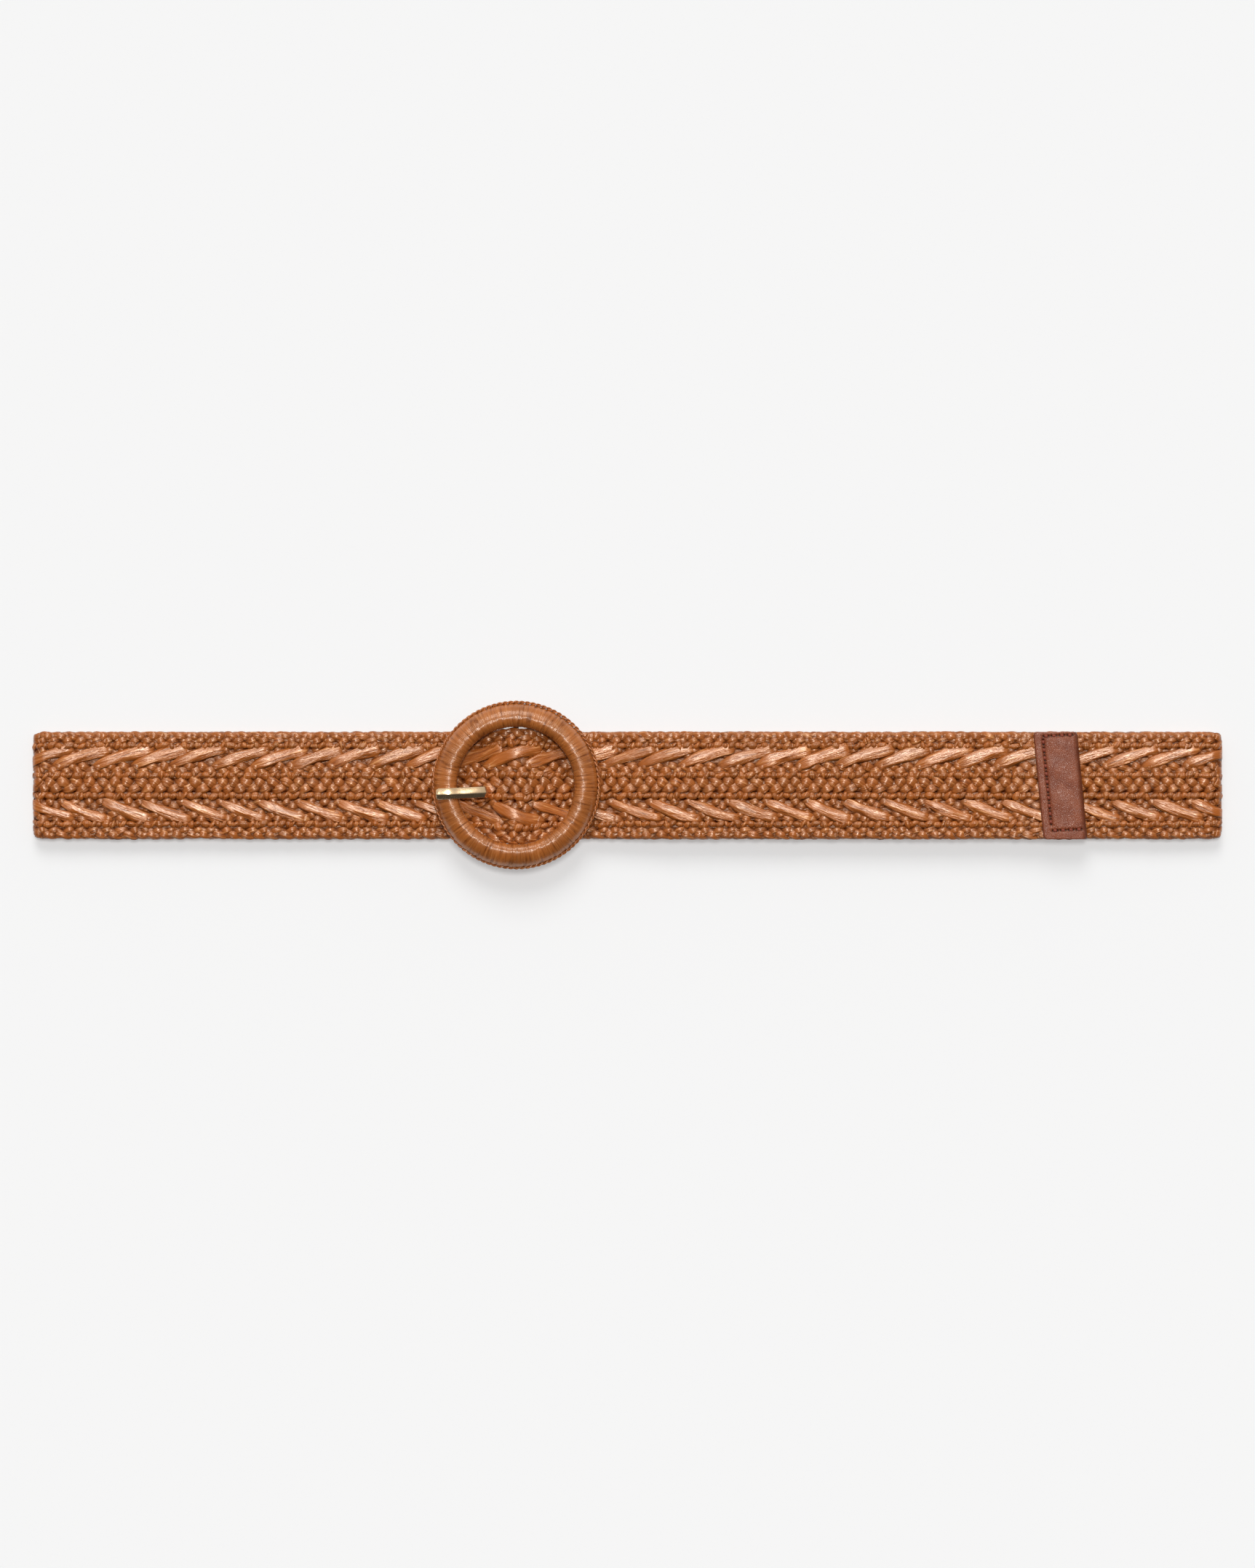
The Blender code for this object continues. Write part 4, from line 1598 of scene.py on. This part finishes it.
def skin(name: str, rings: list) -> bpy.types.Object:
    """Sweeps a mesh through closed rings of points and caps its ends.

    Args:
        name: The object's name.
        rings: Lists of points in mm, all of one length.

    Returns:
        The new object, facing outwards.
    """
    builder = bmesh.new()
    rows = [[builder.verts.new(Vector(point) * MM) for point in ring] for ring in rings]
    count = len(rows[0])
    for near, far in zip(rows, rows[1:]):
        for k in range(count):
            j = (k + 1) % count
            builder.faces.new((near[k], far[k], far[j], near[j]))
    builder.faces.new(rows[0])
    builder.faces.new(rows[-1])
    bmesh.ops.recalc_face_normals(builder, faces=builder.faces)
    mesh = bpy.data.meshes.new(name)
    builder.to_mesh(mesh)
    builder.free()
    mesh.shade_smooth()
    item = bpy.data.objects.new(name, mesh)
    bpy.context.scene.collection.objects.link(item)
    return item


PRONG_SECTION = (
    (-0.93, -0.5), (0.93, -0.5), (0.98, -0.46), (1.0, -0.38), (1.0, -0.16), (0.985, -0.11),
    (0.95, -0.06), (0.05, 0.43), (-0.04, 0.475), (-0.13, 0.49), (-0.22, 0.47), (-0.31, 0.42),
    (-0.86, -0.02), (-0.95, -0.07), (-0.99, -0.14), (-1.0, -0.2), (-1.0, -0.38), (-0.98, -0.46),
)


@dataclass
class Prong:
    """The gold prong: a gabled bar that lies on the ring, and a curl round the buckle's bar.

    Attributes:
        route: The strap's route. Sizes are in mm.
        y: Where the prong is across the belt.
        half_width: Half of its width.
        thickness: Its thickness on the ring.
        curl_thickness: Its thickness in the curl.
        ring_top: The level of the ring's ridge.
        tip_x: Where its tip is.
        exit_x: Where it comes out of the strap.
        curl_x: Where the curl starts.
        curl_radius: The radius of the curl.
        skew: How far it turns aside for each mm along the belt.
    """

    route: Route
    y: float = -2.8
    half_width: float = 2.1
    thickness: float = 1.7
    curl_thickness: float = 1.0
    ring_top: float = 15.7
    tip_x: float = -72.0
    exit_x: float = -51.9
    curl_x: float = -48.25
    curl_radius: float = 1.8
    skew: float = 0.045

    def line(self) -> list:
        """Lays the prong's middle line from its tip, under the strap and round the bar.

        Returns:
            Its places, each as x, z, thickness and share of the full width.
        """
        bar_x, bar_z = self.route.bar_x, self.route.bar_z
        rest = self.ring_top + 0.3 + self.thickness / 2
        top = bar_z + self.curl_radius
        strap = level_at(self.route.upper_keys(), np.array([self.exit_x]))
        keys = (
            (self.tip_x, rest - 0.7),
            (-67.3, rest),
            (-64.2, rest - 0.7),
            (-53.5, 13.7),
            (self.exit_x, float(strap[0]) + 1.2),
            (self.curl_x, top),
            (bar_x, top),
        )
        near_tip = self.tip_x + np.array([0.0, 0.1, 0.3, 0.6, 1.0])
        xs = np.concatenate((near_tip, np.arange(-70.8, bar_x, 0.4)))
        places = []
        for x, z in zip(xs, level_at(keys, xs)):
            share = min(1.0, max(0.0, (self.curl_x - x) / 12.5))
            thick = self.curl_thickness + share * (self.thickness - self.curl_thickness)
            ease = min(1.0, (x - self.tip_x) / 1.2)
            full = 0.50 + 0.50 * math.sqrt(1 - (1 - ease) ** 2)
            places.append((x, z, thick * full, full if x < -50 else 0.92))
        for k in range(1, 36):
            angle = math.radians(90 - 280 * k / 35)
            x = bar_x + self.curl_radius * math.cos(angle)
            z = bar_z + self.curl_radius * math.sin(angle)
            places.append((x, z, self.curl_thickness, 0.92))
        return places

    def build(self, gold: Material) -> None:
        """Sweeps the prong's section along its line.

        Args:
            gold: The prong's finish.
        """
        places = self.line()
        rings = []
        for k, (x, z, thick, share) in enumerate(places):
            before, after = places[max(0, k - 1)], places[min(len(places) - 1, k + 1)]
            dx, dz = after[0] - before[0], after[1] - before[1]
            length = math.hypot(dx, dz)
            nx, nz = -dz / length, dx / length
            middle = self.y + self.skew * (min(x, -53.0) + 62.5) * (1.0 if x < -53 else 0.45)
            rings.append([
                (x + nx * n * thick, middle + c * self.half_width * share, z + nz * n * thick)
                for c, n in PRONG_SECTION
            ])
        prong = skin("gold_prong", rings)
        prong.data.materials.append(gold)
        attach(prong, "prong")
        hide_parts("prong")
        LOG.info("%s: %d faces", prong.name, len(prong.data.polygons))


@dataclass
class LeatherTip:
    """The leather cap folded round the tail's end, with its stitched border. Sizes are in mm.

    Attributes:
        start: Where the cap starts along the belt.
        bend: Where it folds back.
        middle: The level of its middle.
        outer: The distance from there to its outer face.
        inner: The distance to its inner face.
        half: Half of its width.
        slant: How far it leans along the belt for each mm across.
        rise: How far the long lines of stitches rise across the belt for each mm along.
        groove: How deep a line of stitches is sunk.
        crown: How far the top bulges in the middle.
        stitch_pitch: The distance from one stitch to the next.
        stitch_length: A stitch's length.
        seed: The seed of the stitches' small differences.
    """

    start: float = 154.5
    bend: float = 169.2
    middle: float = 9.0
    outer: float = 1.9
    inner: float = 1.05
    half: float = 20.2
    slant: float = 0.0963
    rise: float = 0.05
    groove: float = 0.26
    crown: float = 0.30
    stitch_pitch: float = 3.0
    stitch_length: float = 1.75
    seed: int = 40

    def borders(self) -> list:
        """Lays the three stitched lines, before the cap's slant.

        Returns:
            The lines, each as its stitches' two ends in (x, y).
        """
        left = self.start + 3.4
        lines = [
            (left + 0.4, 18.5, 1.0, self.rise, 4),
            (left, 17.2, 0.0, -1.0, 11),
            (left + 0.4, -17.0, 1.0, self.rise, 4),
        ]
        stitches = []
        for x, y, dx, dy, count in lines:
            along = np.array([dx, dy]) / math.hypot(dx, dy)
            starts = [np.array([x, y]) + self.stitch_pitch * k * along for k in range(count)]
            stitches.append([(first, first + self.stitch_length * along) for first in starts])
        return stitches

    def relief(self, x: np.ndarray, y: np.ndarray) -> tuple:
        """How far the top face is pressed in by its stitching, and how dark it is.

        Args:
            x: Places along the belt, before the slant.
            y: Places across it.

        Returns:
            The press in mm, and the shade from 0 for dark to 1 for clear.
        """
        press = np.zeros(x.shape)
        shade = np.ones(x.shape)
        for line in self.borders():
            first, last = line[0][0], line[-1][1]
            length = np.linalg.norm(last - first)
            along = (last - first) / length
            dx, dy = x - first[0], y - first[1]
            run = np.clip(dx * along[0] + dy * along[1], -0.3, length + 0.3)
            away = np.hypot(dx - run * along[0], dy - run * along[1])
            press = np.maximum(press, self.groove * np.exp(-((away / 0.60) ** 2)))
            shade = np.minimum(shade, 1 - 0.30 * np.exp(-((away / 0.50) ** 2)))
            for hole in (end for stitch in line for end in stitch):
                gap = np.hypot(x - hole[0], y - hole[1])
                press = np.maximum(press, 0.60 * np.exp(-((gap / 0.46) ** 4)))
                shade = np.minimum(shade, 1 - 0.88 * np.exp(-((gap / 0.50) ** 4)))
        return press, shade

    def outline(self) -> tuple:
        """Draws the folded sheet's section along the belt.

        Returns:
            Its x and its levels.
        """
        out, thin, middle = self.outer, self.inner, self.middle
        arc = np.radians(np.linspace(-90, 90, 19))[1:-1]
        points = [(x, middle - out) for x in np.linspace(self.start, self.bend, 22)]
        points += [(self.bend + out * math.cos(a), middle + out * math.sin(a)) for a in arc]
        points += [(x, middle + out) for x in np.arange(self.bend, self.start + 0.45, -0.27)]
        points += [(self.start + 0.14, middle + out - 0.10), (self.start, middle + out - 0.32)]
        points += [(x, middle + thin) for x in np.linspace(self.start, self.bend, 12)]
        points += [
            (self.bend + thin * math.cos(a), middle + thin * math.sin(a)) for a in arc[::-3]
        ]
        points += [(x, middle - thin) for x in np.linspace(self.bend, self.start, 12)]
        x, z = zip(*points)
        return np.array(x), np.array(z)

    def section(self, y: float, ox: np.ndarray, oz: np.ndarray) -> tuple:
        """Shapes the sheet at one place across the belt.

        Args:
            y: The place.
            ox: The outline's x.
            oz: Its levels.

        Returns:
            The x and the levels there, and the shade.
        """
        past_start = self.start + 3
        into = max(0.0, 0.38 - (self.half - abs(y))) / 0.38
        shrink = 0.30 * (1 - math.sqrt(max(0.0, 1 - into * into)))
        level = oz - np.sign(oz - self.middle) * shrink
        corner = max(0.0, 1.6 - (self.half - abs(y)))
        rounding = 0.9 * (corner / 1.6) ** 2.2
        pulled = ox + rounding * np.clip(1 - (ox - self.start) / 3, 0, 1)
        x = np.where(ox < past_start, pulled, ox)
        x = np.where(x > self.bend, x - 0.5 * rounding * (x - self.bend) / self.outer, x)
        is_top = oz > self.middle + self.outer - 0.4
        press, shade = self.relief(x, np.full(x.shape, y))
        puff = 0.16 * (1 - (y / self.half) ** 2) * np.clip((x - self.start) / 3, 0, 1)
        run = np.clip((x - self.start - 3.9) / (self.bend - self.start - 3.7), 0, 1)
        puff = puff + self.crown * np.sin(math.pi * run)
        swell = 0.10 * np.sin(0.55 * y + 0.3 * x) * np.clip((x - self.start) / 4, 0, 1)
        level = level + np.where(is_top, puff + 0.5 * swell - press, 0.0)
        turned = rise_between(self.bend - 0.6, self.bend + self.outer, x)
        shade = np.where(is_top, shade, 1.0) * (1 - 0.45 * turned)
        shade = shade * (1 - 0.35 * np.clip(1 - (x - self.start - rounding) / 0.45, 0, 1))
        return x, level, shade

    def build_cap(self, leather: Material) -> None:
        """Builds the cap itself, one folded sheet.

        Args:
            leather: The cap's finish.
        """
        ox, oz = self.outline()
        edge = np.array([0.0, 0.08, 0.2, 0.38])
        inside = np.arange(-self.half + 0.65, self.half - 0.6, 0.27)
        across = np.concatenate((-self.half + edge, inside, (self.half - edge)[::-1]))
        rings, shades = [], []
        for y in across:
            x, level, shade = self.section(y, ox, oz)
            shades.append(shade)
            rings.append(list(zip(x - self.slant * y, np.full(x.shape, y), level)))
        cap = skin("folded_leather_tip", rings)
        values = np.concatenate(shades).astype(np.float32)
        cap.data.attributes.new("shade", "FLOAT", "POINT").data.foreach_set("value", values)
        cap.data.materials.append(leather)
        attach(cap, "tail_end")
        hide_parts("leather_tip")
        LOG.info("%s: %d faces", cap.name, len(cap.data.polygons))

    def build_thread(self, thread: Material) -> None:
        """Builds the stitches, each a short sunk run of thread between two holes.

        Args:
            thread: The stitches' finish.
        """
        pieces = []
        random = np.random.default_rng(self.seed)
        level = self.middle + self.outer - 0.12
        for line in self.borders():
            for first, last in line:
                along = last - first
                length = float(np.linalg.norm(along))
                along = along / length
                side = np.array([-along[1], along[0]])
                radius = random.uniform(0.50, 0.58)
                rings = []
                for t in np.linspace(0.08, 0.92, 15):
                    bow = max(0.0, math.sin(math.pi * (t - 0.08) / 0.84)) ** 0.5
                    centre = first + along * length * t + side * random.uniform(-0.02, 0.02)
                    dive = level + 0.14 - 0.60 * (1 - bow)
                    ring = []
                    for k in range(10):
                        angle = 2 * math.pi * k / 10
                        wide = radius * math.cos(angle) * (0.72 + 0.28 * bow)
                        x, y = centre + side * wide
                        z = dive + 0.75 * radius * math.sin(angle)
                        ring.append((x - self.slant * y, y, z))
                    rings.append(ring)
                pieces.append(skin("stitch", rings))
        deselect_all()
        for piece in pieces:
            piece.select_set(True)
        bpy.context.view_layer.objects.active = pieces[0]
        bpy.ops.object.join()
        stitches = bpy.context.object
        stitches.name = "tip_stitches"
        stitches.data.materials.append(thread)
        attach(stitches, "tail_end")
        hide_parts("tip_thread")
        LOG.info("%s: %d stitches", stitches.name, len(pieces))


# ---- Studio ----


@dataclass
class Studio:
    """The floor, the lights and the camera.

    Attributes:
        lens: The lens, in mm.
        sensor: The sensor's height, in mm.
        view_height: The height that the camera sees, in metres.
        centre_y: Where it looks, across the belt.
        focus_z: The level that the height is seen at.
        surround: The strength of the light all round.
        warm: The lights' colour.
    """

    lens: float = 240.0
    sensor: float = 36.0
    view_height: float = 0.5909
    centre_y: float = 0.0006
    focus_z: float = 0.0034
    surround: float = 0.55
    warm: tuple = (1.0, 0.98, 0.95)

    def build_floor(self, finish: Material) -> None:
        """Lays a plain floor under the belt.

        Args:
            finish: The floor's finish.
        """
        deselect_all()
        bpy.ops.mesh.primitive_grid_add(
            x_subdivisions=8, y_subdivisions=8, size=8.0, location=(0, 0, -0.0002)
        )
        floor = bpy.context.object
        floor.name = "floor"
        floor.data.materials.append(finish)

    def sun(self, name: str, towards: tuple, power: float, spread: float) -> None:
        """Adds one distant soft light.

        Args:
            name: The light's name.
            towards: The direction that it shines in.
            power: Its power, in watts per square metre.
            spread: The angle that it fills, in degrees.
        """
        data = bpy.data.lights.new(name, "SUN")
        data.energy = power
        data.angle = math.radians(spread)
        data.color = self.warm
        light = bpy.data.objects.new(name, data)
        light.rotation_euler = Vector(towards).to_track_quat("-Z", "Y").to_euler()
        bpy.context.scene.collection.objects.link(light)

    def build_lights(self) -> None:
        """Adds an overhead light, a window beyond the upper edge and a darker near side."""
        self.sun("overhead", (-0.02, -0.15, -1.0), 1.45, 11.0)
        self.sun("window", (0.08, -1.0, -0.95), 1.50, 30.0)
        world = bpy.data.worlds.new("surround")
        bpy.context.scene.world = world
        world.use_nodes = True
        tree = world.node_tree
        backdrop = tree.nodes["Background"]
        direction = tree.nodes.new("ShaderNodeTexCoord")
        parts = tree.nodes.new("ShaderNodeSeparateXYZ")
        fade = tree.nodes.new("ShaderNodeFloatCurve")
        curve = fade.mapping.curves[0]
        curve.points[0].location = (0.0, 0.10)
        curve.points[1].location = (1.0, 0.95)
        for place, level in ((0.30, 0.14), (0.50, 0.36), (0.72, 0.85)):
            curve.points.new(place, level)
        fade.mapping.update()
        half = tree.nodes.new("ShaderNodeMath")
        half.operation = "MULTIPLY_ADD"
        half.inputs[1].default_value = 0.5
        half.inputs[2].default_value = 0.5
        strength = tree.nodes.new("ShaderNodeMath")
        strength.operation = "MULTIPLY"
        strength.inputs[1].default_value = self.surround
        for source, socket in (
            (direction.outputs["Generated"], parts.inputs["Vector"]),
            (parts.outputs["Y"], half.inputs[0]),
            (half.outputs["Value"], fade.inputs["Value"]),
            (fade.outputs["Value"], strength.inputs[0]),
            (strength.outputs["Value"], backdrop.inputs["Strength"]),
        ):
            tree.links.new(source, socket)
        backdrop.inputs["Color"].default_value = (*self.warm, 1.0)
        bpy.context.scene.view_settings.view_transform = "Standard"

    def build_camera(self) -> None:
        """Puts a long lens straight above the belt."""
        data = bpy.data.cameras.new("camera")
        data.lens = self.lens
        data.sensor_width = self.sensor
        data.sensor_fit = "VERTICAL"
        data.sensor_height = self.sensor
        camera = bpy.data.objects.new("camera", data)
        distance = self.view_height / 2 / math.tan(math.atan(self.sensor / 2 / self.lens))
        camera.location = (0.0, self.centre_y, self.focus_z + distance)
        camera.rotation_euler = (0.0, 0.0, 0.0)
        data.clip_end = 50.0
        bpy.context.scene.collection.objects.link(camera)
        bpy.context.scene.camera = camera


def main() -> None:
    """Builds every piece in order."""
    logging.basicConfig(level=logging.INFO, format="%(message)s")
    studio = Studio()
    studio.build_camera()
    straw = StrawFinish().build()
    wound = WOUND_STRAW.build()
    strap = Strap()
    strap.build(straw)
    ring = BuckleRing()
    ring.build_wrap(wound)
    ring.build_cord(straw)
    ring.dress_hidden(wound, BronzeFinish().build())
    Prong(strap.route).build(GoldFinish().build())
    tip = LeatherTip()
    tip.build_cap(LeatherFinish().build())
    tip.build_thread(ThreadFinish().build())
    studio.build_floor(FloorFinish().build())
    studio.build_lights()


if __name__ == "__main__":
    main()
